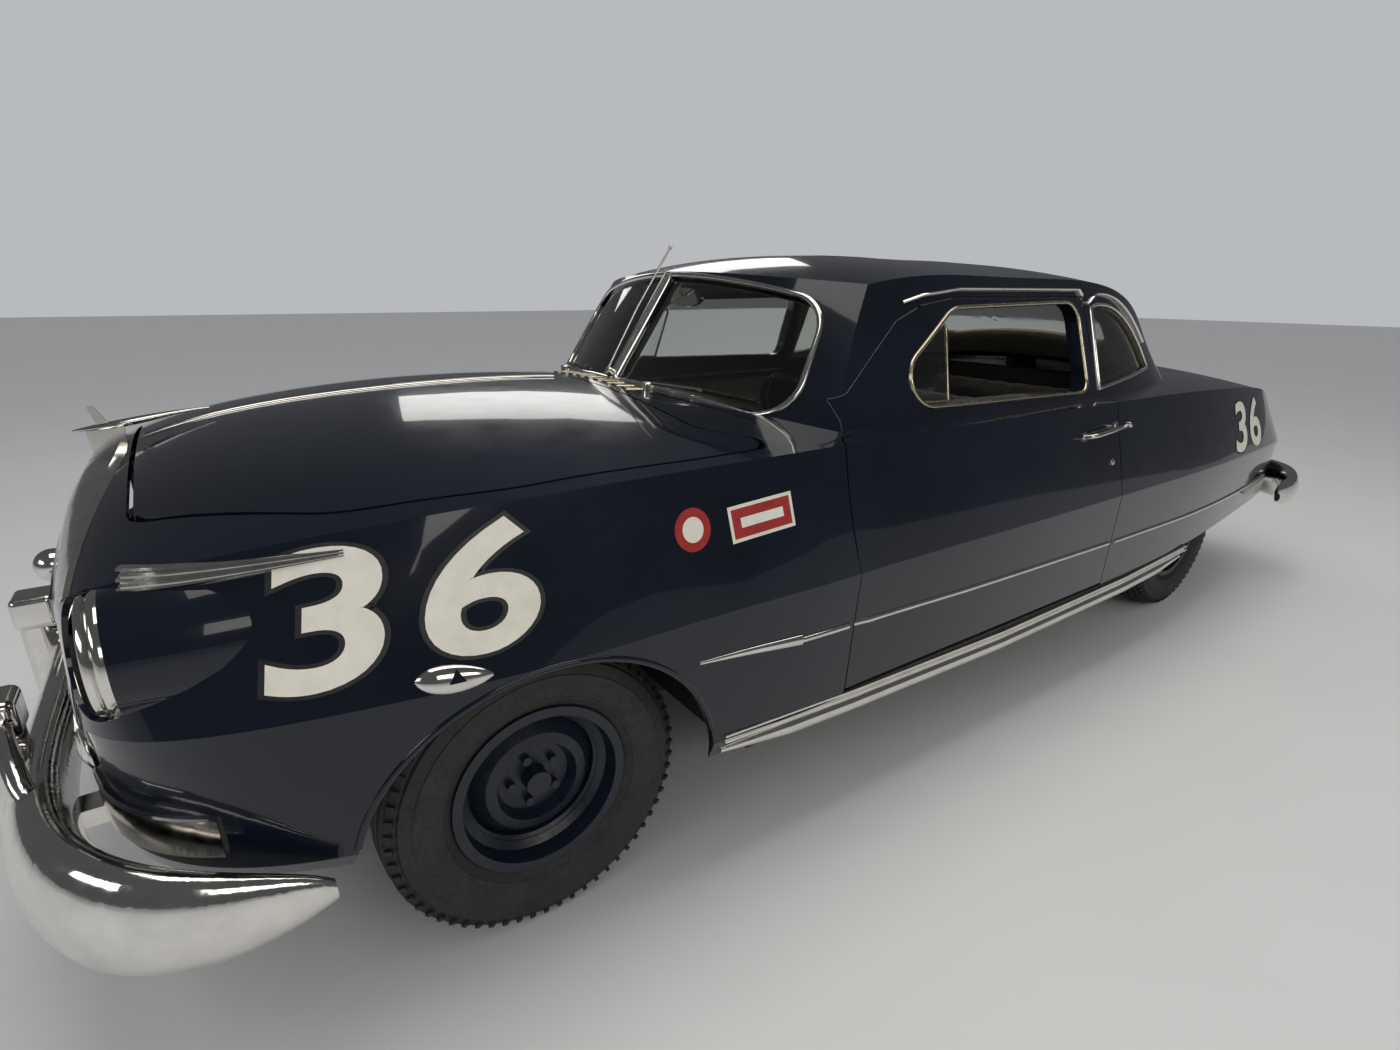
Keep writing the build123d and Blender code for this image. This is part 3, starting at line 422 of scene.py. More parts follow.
def ring_of(bm, points):
    """The points and edges of a closed line, added to a bmesh."""
    ring = [bm.verts.new(p) for p in points]
    return ring, [bm.edges.new((ring[i], ring[(i + 1) % len(ring)])) for i in range(len(ring))]


def sweep(bm, points, normals, profile, closed=False, scales=None):
    """Extrude a profile of (across, out) pairs along a line of points on a surface."""
    count = len(points)
    frames = []
    for i in range(count):
        before = points[(i - 1) % count] if closed or i else points[i]
        after = points[(i + 1) % count] if closed or i < count - 1 else points[i]
        along = (after - before).normalized()
        across = normals[i].cross(along).normalized()
        out = along.cross(across)
        turn = Matrix((along, across, out)).transposed().to_4x4()
        grow = Matrix.Scale(scales[i], 4) if scales else Matrix.Identity(4)
        frames.append(Matrix.Translation(points[i]) @ turn @ grow)
    _, edges = ring_of(bm, [frames[0] @ Vector((0, a, o)) for a, o in profile])
    first = list(edges)
    for here, there in zip(frames, frames[1:] + (frames[:1] if closed else [])):
        made = bmesh.ops.extrude_edge_only(bm, edges=edges)["geom"]
        fresh = {g for g in made if isinstance(g, bmesh.types.BMVert)}
        edges = [g for g in made
                 if isinstance(g, bmesh.types.BMEdge) and all(v in fresh for v in g.verts)]
        bmesh.ops.transform(bm, matrix=there @ here.inverted(), verts=list(fresh))
    if closed:
        bmesh.ops.remove_doubles(bm, verts=bm.verts, dist=1e-6)
    else:
        bmesh.ops.holes_fill(bm, edges=first + edges, sides=0)


def half_round(width, height, sink=0.002, steps=6):
    """A flat-backed, round-faced strip profile that sinks a little into the panel."""
    crown = [(-math.cos(math.pi * i / steps) * width / 2, math.sin(math.pi * i / steps) * height)
             for i in range(steps + 1)]
    return [(-width / 2, -sink), *crown, (width / 2, -sink)]


def ribbed(width, height, ribs, sink=0.002):
    """A strip profile with raised ribs along it."""
    pitch = width / ribs
    line = [(-width / 2, -sink)]
    for r in range(ribs):
        left = -width / 2 + r * pitch
        for share, rise in ((0.1, 0.45), (0.35, 1.0), (0.65, 1.0), (0.9, 0.45)):
            line.append((left + share * pitch, rise * height))
    return line + [(width / 2, -sink)]


def round_profile(radius, flat=1.0, steps=10):
    """A round or oval profile of (across, out) pairs."""
    turns = [math.tau * i / steps for i in range(steps)]
    return [(radius * math.cos(t), radius * flat * math.sin(t)) for t in turns]


def tube(bm, points, radius, up=(0, 0, 1), flat=1.0, closed=False, steps=10):
    """A rod along a line of points."""
    line = [Vector(p) for p in points]
    sweep(bm, line, [Vector(up)] * len(line), round_profile(radius, flat, steps), closed)


def circle(centre, radius, count, forward):
    """Points round a circle that faces along the car, a little in front of its centre."""
    turns = [math.tau * i / count for i in range(count)]
    return [centre + Vector((forward, radius * math.cos(t), radius * math.sin(t))) for t in turns]


def laid(name, spots, body, profile, closed=False, scales=None, **looks):
    """A strip over places on a surface, each with the surface's direction there."""
    bm = bmesh.new()
    sweep(bm, [s for s, _ in spots], [n for _, n in spots], profile, closed, scales)
    finished(name, bm, body, **looks)


def lay_strip(name, points, direction, body, profile, closed=False, gap=0.04, **looks):
    """A strip laid on the body along a line that is seen from one direction."""
    spots = [drop_to_skin(p, direction) for p in dense([Vector(p) for p in points], gap, closed)]
    laid(name, spots, body, profile, closed, **looks)


def strip_on_side(name, places, side, body, profile, scales=None, gap=0.06, **looks):
    """A strip that follows the body side through places of (along, height), wider where scales say."""
    spots = [side_spot(p.x, p.y, side) for p in dense([Vector((a, z, 0)) for a, z in places], gap)]
    total = len(spots) - 1
    grow = scales and [scales(i, total) for i in range(total + 1)]
    laid(name, spots, body, profile, scales=grow, **looks)


def taper(first, last):
    """A strip's size from one end to the other."""
    return lambda i, total: first + (last - first) * i / total


def knob(bm, centre, direction, radius, height, segments=24, dome=0.0):
    """A round boss that stands on a surface, with an optional domed end."""
    centre, out = Vector(centre), Vector(direction).normalized()
    turn = out.to_track_quat("Z", "Y").to_matrix().to_4x4()
    bmesh.ops.create_cone(bm, cap_ends=True, segments=segments, radius1=radius, radius2=radius,
                          depth=height, matrix=Matrix.Translation(centre + out * height / 2) @ turn)
    if dome:
        ball = Matrix.Translation(centre + out * height) @ turn
        bmesh.ops.create_uvsphere(bm, u_segments=segments, v_segments=12, radius=radius,
                                  matrix=ball @ Matrix.Diagonal((1, 1, dome / radius, 1)))


def block(bm, low, high, bevel=0.0, segments=3):
    """A box between two corners, with its edges rounded."""
    low, high = Vector(low), Vector(high)
    size = high - low
    place = Matrix.Translation((low + high) / 2) @ Matrix.Diagonal((*size, 1))
    made = bmesh.ops.create_cube(bm, size=1.0, matrix=place)["verts"]
    if bevel:
        edges = {e for v in made for e in v.link_edges}
        bmesh.ops.bevel(bm, geom=list(edges), offset=bevel, offset_type="OFFSET", segments=segments,
                        profile=0.5, affect="EDGES", material=-1)


def thicken(bm, faces, move):
    """Extrude a sheet's faces into a plate."""
    made = bmesh.ops.extrude_face_region(bm, geom=faces)["geom"]
    bmesh.ops.translate(bm, verts=[g for g in made if isinstance(g, bmesh.types.BMVert)], vec=move)


# Operators: one for each group of like pieces


class SCAR_OT_materials(bpy.types.Operator):
    """Make the car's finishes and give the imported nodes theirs"""

    bl_idname = "stock_car.materials"
    bl_label = "Finishes"

    def execute(self, context):
        finish = context.scene.car_finish
        bright = tuple(finish.bright)
        MATERIALS.update({
            "paint": body_paint(finish),
            "number": painted_steel("number_paint", tuple(finish.number), 0.34, 0.86),
            "number_edge": painted_steel("number_edge", (0.012, 0.012, 0.014), 0.4),
            "red_patch": painted_steel("red_patch", (0.36, 0.022, 0.018), 0.35, 0.8),
            "chrome": plated("chrome", bright),
            "aged_bright": plated("aged_bright", (0.62, 0.55, 0.40), 0.16),
            "wheel_paint": painted_steel("wheel_paint", tuple(finish.wheel), 0.32, 1.7),
            "tyre": tyre_rubber(tuple(finish.rubber)),
            "glass": window_glass(),
            "seat_cloth": woven("seat_cloth", tuple(finish.seat)),
            "roof_lining": woven("roof_lining", (0.20, 0.165, 0.12), 70.0),
            "dash_paint": painted_steel("dash_paint", tuple(finish.dash), 0.42, 1.25),
            "black_plastic": painted_steel("black_plastic", (0.012, 0.011, 0.010), 0.28, 1.5),
            "underbody": painted_steel("underbody_black", (0.018, 0.017, 0.016), 0.6, 2.4),
            "iron": painted_steel("cast_iron", (0.055, 0.050, 0.045), 0.55, 1.8),
            "pipe": painted_steel("exhaust_pipe", (0.12, 0.085, 0.06), 0.5, 1.7),
            "red_lens": lamp_glass("red_lens", (0.30, 0.010, 0.008)),
            "clear_lens": lamp_glass("clear_lens", (0.74, 0.75, 0.72), 0.06, 0.25),
        })
        for part in NODES.values():
            for held in part.material_slots:
                held.material = material(held.material.name.split(".")[0])
        return {"FINISHED"}


# Tyre side, from the bead out to the shoulder, and tread ribs: (radius, across) and (outer edge, inner edge)
TYRE_SIDE = [
    (0.1905, 0.050), (0.1925, 0.058), (0.2065, 0.0685), (0.2150, 0.0760), (0.2230, 0.0815),
    (0.2260, 0.0852), (0.2310, 0.0868), (0.2340, 0.0858), (0.2420, 0.0888), (0.2550, 0.0925),
    (TYRE_HALF + 0.175, TYRE_HALF - 0.0008), (0.2820, 0.0938), (0.2845, 0.0950), (0.2885, 0.0948),
    (0.2905, 0.0925), (0.3020, 0.0902), (0.3100, 0.0878), (0.3150, 0.0868), (0.3185, 0.0800),
    (0.3300, 0.0760), (0.3375, 0.0700),
]
TREAD_RIBS = [(0.066, 0.052), (0.042, 0.022), (0.012, 0.0)]
TREAD_DEPTH = 0.009
# Shoulder lugs: size, place as (radius, across), and how they slant, in degrees
LUG_SIZE = (0.016, 0.020, 0.0098)
LUG_PLACE = (0.3290, 0.0735)
LUG_SLANT = -30


def tyre_profile():
    """The tyre's outline from bead to bead, as (radius, across) pairs."""
    outside = list(TYRE_SIDE)
    for outer, inner in TREAD_RIBS:
        crown = TYRE_RADIUS - 0.010 * (outer / TYRE_HALF) ** 2
        groove = crown - TREAD_DEPTH
        outside += [(groove, outer), (crown, outer - 0.0015), (crown + 0.0005, inner + 0.0015)]
        if inner:
            outside += [(groove, inner), (groove, inner - 0.004)]
    return outside + [(radius, -across) for radius, across in reversed(outside)]


class SCAR_OT_tyres(bpy.types.Operator):
    """Cross-ply tyres with sidewall rings, tread ribs and shoulder lugs"""

    bl_idname = "stock_car.tyres"
    bl_label = "Tyres"

    def execute(self, context):
        for name, centre, track in WHEELS:
            bm = bmesh.new()
            outline = [bm.verts.new((radius, across, 0)) for radius, across in tyre_profile()]
            edges = [bm.edges.new(pair) for pair in zip(outline, outline[1:])]
            bmesh.ops.spin(bm, geom=outline + edges, cent=(0, 0, 0), axis=(0, 1, 0), steps=144,
                           angle=math.tau, use_merge=True)
            bmesh.ops.remove_doubles(bm, verts=bm.verts, dist=1e-6)
            self.lugs(bm, context.scene.car_trim.tread_lugs)
            move = Matrix.Translation((centre, track, TYRE_RADIUS))
            bmesh.ops.transform(bm, matrix=move, verts=bm.verts)
            piece = finished(f"tyre_{name}_tread", bm, f"wheel_{name}", "tyre", "tyre", 30)
            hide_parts(f"tyre_{name}")
        return {"FINISHED"}

    def lugs(self, bm, count):
        """Slanted blocks round both shoulders, half a step apart."""
        for shoulder in (1, -1):
            slant = Matrix.Rotation(math.radians(LUG_SLANT * shoulder), 4, "Z")
            place = Matrix.Translation((LUG_PLACE[0], LUG_PLACE[1] * shoulder, 0))
            spot = place @ slant @ Matrix.Diagonal((*LUG_SIZE, 1))
            for n in range(count):
                made = bmesh.ops.create_cube(bm, size=1.0)["verts"]
                turn = Matrix.Rotation(math.tau * (n + 0.5 * (shoulder < 0)) / count, 4, "Y")
                bmesh.ops.transform(bm, matrix=turn @ spot, verts=made)


# Side strip: places of (along, height) on the front fender, the door and the quarter
STRIP_RUNS = [
    ("fender", [(-0.615, 0.612), (-0.778, 0.606)]),
    ("door", [(-0.800, 0.605), (-1.250, 0.588), (-2.085, 0.570)]),
    ("quarter", [(-2.118, 0.569), (-2.700, 0.562), (-3.300, 0.560), (-3.780, 0.560)]),
]
SIDE_SPEAR = [(-0.318, 0.640), (-0.470, 0.628), (-0.615, 0.614)]
FENDER_SPEAR = [(0.640, 0.975), (0.480, 0.985), (0.330, 0.995)]
FENDER_SEAM = [(0.560, 0.572), (0.354, 0.556)]


class SCAR_OT_side_trim(bpy.types.Operator):
    """Strips, spears and the fender seam along both sides"""

    bl_idname = "stock_car.side_trim"
    bl_label = "Side trim"

    def execute(self, context):
        strip = half_round(context.scene.car_trim.side_strip, 0.007)
        for side, word in SIDES:
            for run, places in STRIP_RUNS:
                body = f"door_{word}" if run == "door" else "body"
                strip_on_side(f"side_strip_{run}_{word}", places, side, body, strip)
            strip_on_side(f"side_spear_{word}", SIDE_SPEAR, side, "body", half_round(0.030, 0.011),
                          taper(0.25, 1.0), gap=0.03)
            strip_on_side(f"fender_spear_{word}", FENDER_SPEAR, side, "body", ribbed(0.050, 0.010, 3),
                          taper(1.0, 0.3), gap=0.03)
            strip_on_side(f"fender_seam_{word}", FENDER_SEAM, side, "body",
                          half_round(0.0030, 0.0005, 0.001), slot="paint", surface="number_edge")
        return {"FINISHED"}


# Numbers on the sides: place, middle (along, height), size next to the fender's, and tip in degrees
NUMBER_PLACES = [("fender", 0.268, 0.890, 1.0, -16), ("quarter", -3.340, 0.850, 0.9, -8)]
# Number on the roof: its middle along the car and its height
ROOF_NUMBER = (-1.78, 0.46)
# Layers of a number: name, surface, how far the strokes are fattened, and height above the paint
NUMBER_LAYERS = [("edge", "number_edge", 0.013, 0.0008), ("face", "number", 0.006, 0.0014)]
# Plain patches on the cowl side: middles, and each layer's surface, size and height above the paint
ROUND_PATCH = (-0.325, 0.938)
ROUND_LAYERS = [("patch_round", "red_patch", 0.046, 0.0008), ("patch_round_middle", "number", 0.027, 0.0014)]
OBLONG_PATCH = (-0.512, 0.935)
OBLONG_LAYERS = [("edge", "number", 0.090, 0.040, 0.0008), ("field", "red_patch", 0.082, 0.032, 0.0014),
                 ("band", "number", 0.060, 0.011, 0.0020)]
# Capital height of the built-in font as a share of its size, letter width, and cells of a laid digit
CAPITAL = 0.72
WIDER = 1.38
CELL = 0.02


def whole(bm):
    """All the geometry of a bmesh."""
    return bm.verts[:] + bm.edges[:] + bm.faces[:]


def digits(value, height, stroke, lean=0.14):
    """A flat mesh of plain painted digits, cut small enough to lie on a curved panel."""
    text = bpy.data.curves.new("digits", "FONT")
    text.body = str(value)
    text.size = height / CAPITAL
    text.offset = stroke
    text.shear = lean
    text.space_character = 1.12
    text.align_x = text.align_y = "CENTER"
    text.resolution_u = 8
    holder = in_scene("digits", text)
    bpy.context.view_layer.update()
    mesh = bpy.data.meshes.new_from_object(holder.evaluated_get(bpy.context.evaluated_depsgraph_get()))
    bpy.data.objects.remove(holder)
    bpy.data.curves.remove(text)
    bm = bmesh.new()
    bm.from_mesh(mesh)
    bpy.data.meshes.remove(mesh)
    bmesh.ops.remove_doubles(bm, verts=bm.verts, dist=1e-5)
    bmesh.ops.scale(bm, vec=(WIDER, 1, 1), verts=bm.verts)
    for axis in range(2):
        low = min(v.co[axis] for v in bm.verts)
        high = max(v.co[axis] for v in bm.verts)
        cells = math.ceil((high - low) / CELL)
        for n in range(1, cells):
            spot, away = [0.0] * 3, [0.0] * 3
            spot[axis], away[axis] = low + (high - low) * n / cells, 1.0
            bmesh.ops.bisect_plane(bm, geom=whole(bm), plane_co=spot, plane_no=away)
    return bm


class SCAR_OT_numbers(bpy.types.Operator):
    """Plain painted numbers and patches, laid on the panels"""

    bl_idname = "stock_car.numbers"
    bl_label = "Numbers"

    def execute(self, context):
        trim = context.scene.car_trim
        for place, along, middle, size, tip in NUMBER_PLACES:
            for side, word in SIDES:
                look = Matrix.Rotation(math.radians(180 if side > 0 else 0), 4, "Z")
                stand = Matrix.Rotation(math.radians(90 + tip), 4, "X")
                spot = Matrix.Translation((at(along), NEAR * side, middle)) @ look @ stand
                self.paint_number(f"{place}_{word}", trim.number_value, trim.number_height * size, spot)
        along, height = ROOF_NUMBER
        spot = Matrix.Translation((at(along), 0, ABOVE)) @ Matrix.Rotation(math.radians(180), 4, "Z")
        self.paint_number("roof", trim.number_value, height, spot)
        for side, word in SIDES:
            self.patches(side, word)
        return {"FINISHED"}

    def paint_number(self, name, value, height, place):
        """A dark edge with the pale number over it."""
        for layer, surface, stroke, lift in NUMBER_LAYERS:
            bm = digits(value, height, stroke)
            bmesh.ops.transform(bm, matrix=place, verts=bm.verts)
            self.paint(f"number_{name}_{layer}", bm, place.to_3x3() @ Vector((0, 0, 1)), surface, lift)

    def paint(self, name, bm, away, surface, lift):
        """Lay a flat mesh on the body as paint, a little above what is below it."""
        for v in bm.verts:
            spot, normal = drop_to_skin(v.co, -away)
            v.co = spot + normal * lift
        finished(name, bm, "body", "paint", surface, 60)

    def patches(self, side, word):
        """A plain round patch and a plain oblong one on the cowl side, with no words on them."""
        away = Vector((0, side, 0))
        upright = Matrix.Rotation(math.radians(90), 4, "X")
        for name, surface, radius, lift in ROUND_LAYERS:
            bm = bmesh.new()
            bmesh.ops.create_circle(bm, cap_ends=True, segments=32, radius=radius,
                                    matrix=Matrix.Translation(beside(ROUND_PATCH, side)) @ upright)
            self.paint(f"{name}_{word}", bm, away, surface, lift)
        lean = Matrix.Rotation(math.radians(4 * side), 4, "Y")
        for layer, surface, half, tall, lift in OBLONG_LAYERS:
            bm = bmesh.new()
            bmesh.ops.create_grid(bm, x_segments=8, y_segments=4, size=1.0)
            place = Matrix.Translation(beside(OBLONG_PATCH, side)) @ lean @ upright
            bmesh.ops.transform(bm, matrix=place @ Matrix.Diagonal((half, tall, 1, 1)), verts=bm.verts)
            self.paint(f"patch_oblong_{layer}_{word}", bm, away, surface, lift)


# Windows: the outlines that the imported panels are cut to, with the radii of their corners
SCREEN_FOOT = Vector((at(-0.632), 0, 1.135))
SCREEN_RISE = Vector((-0.236, 0, 0.345)).normalized()
SCREEN_OUT = Vector((SCREEN_RISE.z, 0, -SCREEN_RISE.x))
SCREEN_CURVE = 1.700
SCREEN = rounded([(0.020, 0.010), (0.700, 0.038), (0.642, 0.388), (0.020, 0.392)],
                 [0.012, 0.110, 0.105, 0.012])
DOOR_WINDOW = rounded([(-0.985, 1.122), (-1.345, 1.368), (-2.040, 1.380), (-2.030, 1.098)],
                      [0.070, 0.130, 0.060, 0.040])
QUARTER_TIP, QUARTER_TOP, QUARTER_LOW = (-2.560, 1.148), (-2.142, 1.366), (-2.118, 1.102)
QUARTER_WINDOW = arc(QUARTER_TIP, (-2.440, 1.290), QUARTER_TOP) + [Vector(QUARTER_LOW)]
REAR_WINDOW = rounded([(-0.500, -0.165), (0.500, -0.165), (0.440, 0.165), (-0.440, 0.165)], [0.110] * 4)
REAR_MIDDLE = Vector((at(-2.800), 0, 1.320))
REAR_OUT = Vector((-0.55, 0, 0.835)).normalized()
REAR_DOWN = Vector((-0.835, 0, -0.55)).normalized()


def on_screen(across, up, out=0.0):
    """A point on the curved windshield's outer face, from the middle of its foot."""
    turn = math.asin(across / SCREEN_CURVE)
    radius = SCREEN_CURVE + out
    aside = Vector((0, radius * math.sin(turn), 0))
    bow = radius * math.cos(turn) - SCREEN_CURVE
    return SCREEN_FOOT + aside + SCREEN_RISE * up + SCREEN_OUT * bow


def screen_normal(across):
    """The way out of the curved windshield at a place across it."""
    turn = math.asin(across / SCREEN_CURVE)
    return SCREEN_OUT * math.cos(turn) + Vector((0, math.sin(turn), 0))


def screen_strip(name, outline, profile, closed=False):
    """A bright strip on the windshield's frame, along flat places of (across, up)."""
    spots = [(on_screen(*p), screen_normal(p.x)) for p in dense(outline, 0.04, closed)]
    laid(name, spots, "body", profile, closed)


# Headlamps: middle of the rim (along, across, height). Outlines are (along the lamp's axis, radius): the
# fairing from behind the rim back into the fender, and the rim. The hood's edge, that the fairing has to
# clear, is a place on it and the way out of the hood there, both (along, across).
LAMP_MIDDLE = (0.692, 0.712, 0.852)
FAIRING = [(-0.018, 0.1085), (-0.060, 0.1175), (-0.110, 0.1275), (-0.158, 0.1335), (-0.215, 0.1340),
           (-0.275, 0.1290), (-0.335, 0.1190), (-0.390, 0.1050), (-0.430, 0.0900)]
FAIRING_WALL = 0.010
LAMP_RIM = [(0.004, 0.0905), (0.011, 0.0925), (0.013, 0.0965), (0.010, 0.1010), (0.002, 0.1030),
            (-0.004, 0.0950)]
HOOD_EDGE, HOOD_AWAY = (0.330, 0.790), (0.215, 0.302)
# Parking lamps: place (across, height), and for each piece its slot, surface and half sizes
PARKING_LAMP = (0.640, 0.655)
PARKING_PIECES = [("rim", "chrome", "chrome", (0.009, 0.056, 0.034)),
                  ("lens", "glass", "clear_lens", (0.013, 0.048, 0.026))]


def turned(bm, outline, centre):
    """A closed outline of (along, radius) pairs spun about a line along the car."""
    ring, edges = ring_of(bm, [(centre[0] + a, centre[1], centre[2] + r) for a, r in outline])
    bmesh.ops.spin(bm, geom=ring + edges, cent=centre, axis=(1, 0, 0), steps=64, angle=math.tau,
                   use_merge=True)
    bmesh.ops.remove_doubles(bm, verts=bm.verts, dist=1e-6)


class SCAR_OT_lamps(bpy.types.Operator):
    """Fairings and rims of the headlamps, their fluted lenses, and the parking lamps"""

    bl_idname = "stock_car.lamps"
    bl_label = "Lamps"

    def execute(self, context):
        for side, word in SIDES:
            along, across, height = LAMP_MIDDLE
            centre = (at(along), across * side, height)
            self.fairing(side, word, centre)
            bm = bmesh.new()
            turned(bm, LAMP_RIM, centre)
            finished(f"lamp_rim_{word}", bm, angle=60)
            self.parking_lamp(side, word)
        for held in NODES["headlamps"].material_slots:
            held.material = material("clear_lens")
        return {"FINISHED"}

    def fairing(self, side, word, centre):
        """The round shell behind a headlamp, cut off beside the hood and closed there."""
        bm = bmesh.new()
        turned(bm, FAIRING + [(a, r - FAIRING_WALL) for a, r in reversed(FAIRING)], centre)
        cut = bmesh.ops.bisect_plane(
            bm, geom=whole(bm), plane_co=(at(HOOD_EDGE[0]), HOOD_EDGE[1] * side, 0),
            plane_no=(HOOD_AWAY[0], HOOD_AWAY[1] * side, 0), clear_inner=True)["geom_cut"]
        open_edges = [g for g in cut if isinstance(g, bmesh.types.BMEdge)]
        bmesh.ops.holes_fill(bm, edges=open_edges, sides=0)
        finished(f"lamp_fairing_{word}", bm, slot="paint", angle=60)

    def parking_lamp(self, side, word):
        """A small oval lamp under the headlamp, in a bright rim."""
        across, height = PARKING_LAMP
        spot, normal = drop_to_skin((at(1.0), across * side, height), (-1, 0, 0))
        place = Matrix.Translation(spot) @ normal.to_track_quat("X", "Z").to_matrix().to_4x4()
        for piece, slot, surface, size in PARKING_PIECES:
            bm = bmesh.new()
            bmesh.ops.create_uvsphere(bm, u_segments=24, v_segments=12, radius=1.0)
            bmesh.ops.transform(bm, matrix=place @ Matrix.Diagonal((*size, 1)), verts=bm.verts)
            finished(f"parking_{piece}_{word}", bm, "body", slot, surface, 60)


# Vent wing: corners (along, height) and the radii they are rounded to
VENT = rounded([(-1.000, 1.126), (-1.338, 1.356), (-1.296, 1.112)], [0.045, 0.020, 0.010])
EAVE = [(-1.130, 1.388), (-1.215, 1.408), (-1.380, 1.424), (-2.060, 1.424)]


class SCAR_OT_window_trim(bpy.types.Operator):
    """Bright surrounds of the windows, the screen's centre bar, vent wings and drip rails"""

    bl_idname = "stock_car.window_trim"
    bl_label = "Window trim"

    def execute(self, context):
        band = context.scene.car_trim.window_band
        wide, narrow = half_round(band, band * 0.45), half_round(band * 0.7, 0.007)
        for side, word in SIDES:
            inward = (0, -side, 0)
            screen = [Vector((p.x * side, p.y)) for p in grown(SCREEN, band * 0.35)]
            screen_strip(f"screen_surround_{word}", screen, wide, True)
            door = [beside(p, side) for p in grown(DOOR_WINDOW, band * 0.35)]
            lay_strip(f"door_window_surround_{word}", door, inward, f"door_{word}", narrow, True,
                      surface="aged_bright")
            quarter = [beside(p, side) for p in grown(QUARTER_WINDOW, band * 0.35)]
            lay_strip(f"quarter_surround_{word}", quarter, inward, "body", narrow, True)
            self.vent_wing(side, word)
            self.drip_rail(side, word)
        rear = [REAR_MIDDLE + Vector((0, p.x, 0)) + REAR_DOWN * p.y for p in grown(REAR_WINDOW, band * 0.4)]
        lay_strip("rear_window_surround", rear, -REAR_OUT, "body", wide, True)
        screen_strip("screen_centre_bar", [Vector((0, 0.004)), Vector((0, 0.400))], half_round(0.034, 0.012))
        return {"FINISHED"}

    def vent_wing(self, side, word):
        """The pivoting front pane of the door window, in its brass-coloured frame."""
        edge = dense(grown(VENT, -0.004), 0.03, True)
        spots = [drop_to_skin(beside(p, side), (0, -side, 0), WINDOW_PLANE[word])[0] for p in edge]
        bm = bmesh.new()
        tube(bm, spots, 0.0055, up=(0, side, 0.3), closed=True)
        finished(f"vent_frame_{word}", bm, f"door_{word}", "chrome", "aged_bright")
        bm = bmesh.new()
        face = bm.faces.new([bm.verts.new(spot) for spot in spots])
        if face.normal.y * side < 0:
            face.normal_flip()
        thicken(bm, [face], (0, 0.004 * side, 0))
        finished(f"vent_glass_{word}", bm, f"door_{word}", "glass")

    def drip_rail(self, side, word):
        """The gutter along the eave, from the windshield post back over the quarter window."""
        rear = list(reversed(grown(QUARTER_WINDOW, 0.040)[2:15]))
        lay_strip(f"drip_rail_{word}", [beside(p, side) for p in EAVE + rear], (0, -side, 0), "body",
                  half_round(0.012, 0.013), gap=0.03)


def window_plane(side):
    """A flat leaning sheet where the door's window glass runs, to lay the vent wing on."""
    corners = [Vector((at(a), y * side, z)) for a, y, z in (
        (-0.90, 0.842, 1.02), (-2.20, 0.850, 1.02), (-2.20, 0.716, 1.46), (-0.90, 0.708, 1.46))]
    return BVHTree.FromPolygons(corners, [[0, 1, 2, 3]])


WINDOW_PLANE = {word: window_plane(side) for side, word in SIDES}


# Places of the fittings, as (along, height) on the side
HANDLE_ENDS = [(-1.872, 0.968), (-2.080, 0.983)]
DOOR_LOCK = (-2.043, 0.868)
FENDER_MARK = [(0.264, 0.772), (0.134, 0.758)]
FENDER_ARROW = (0.196, 0.767)
DOWN = (0, 0, -1)


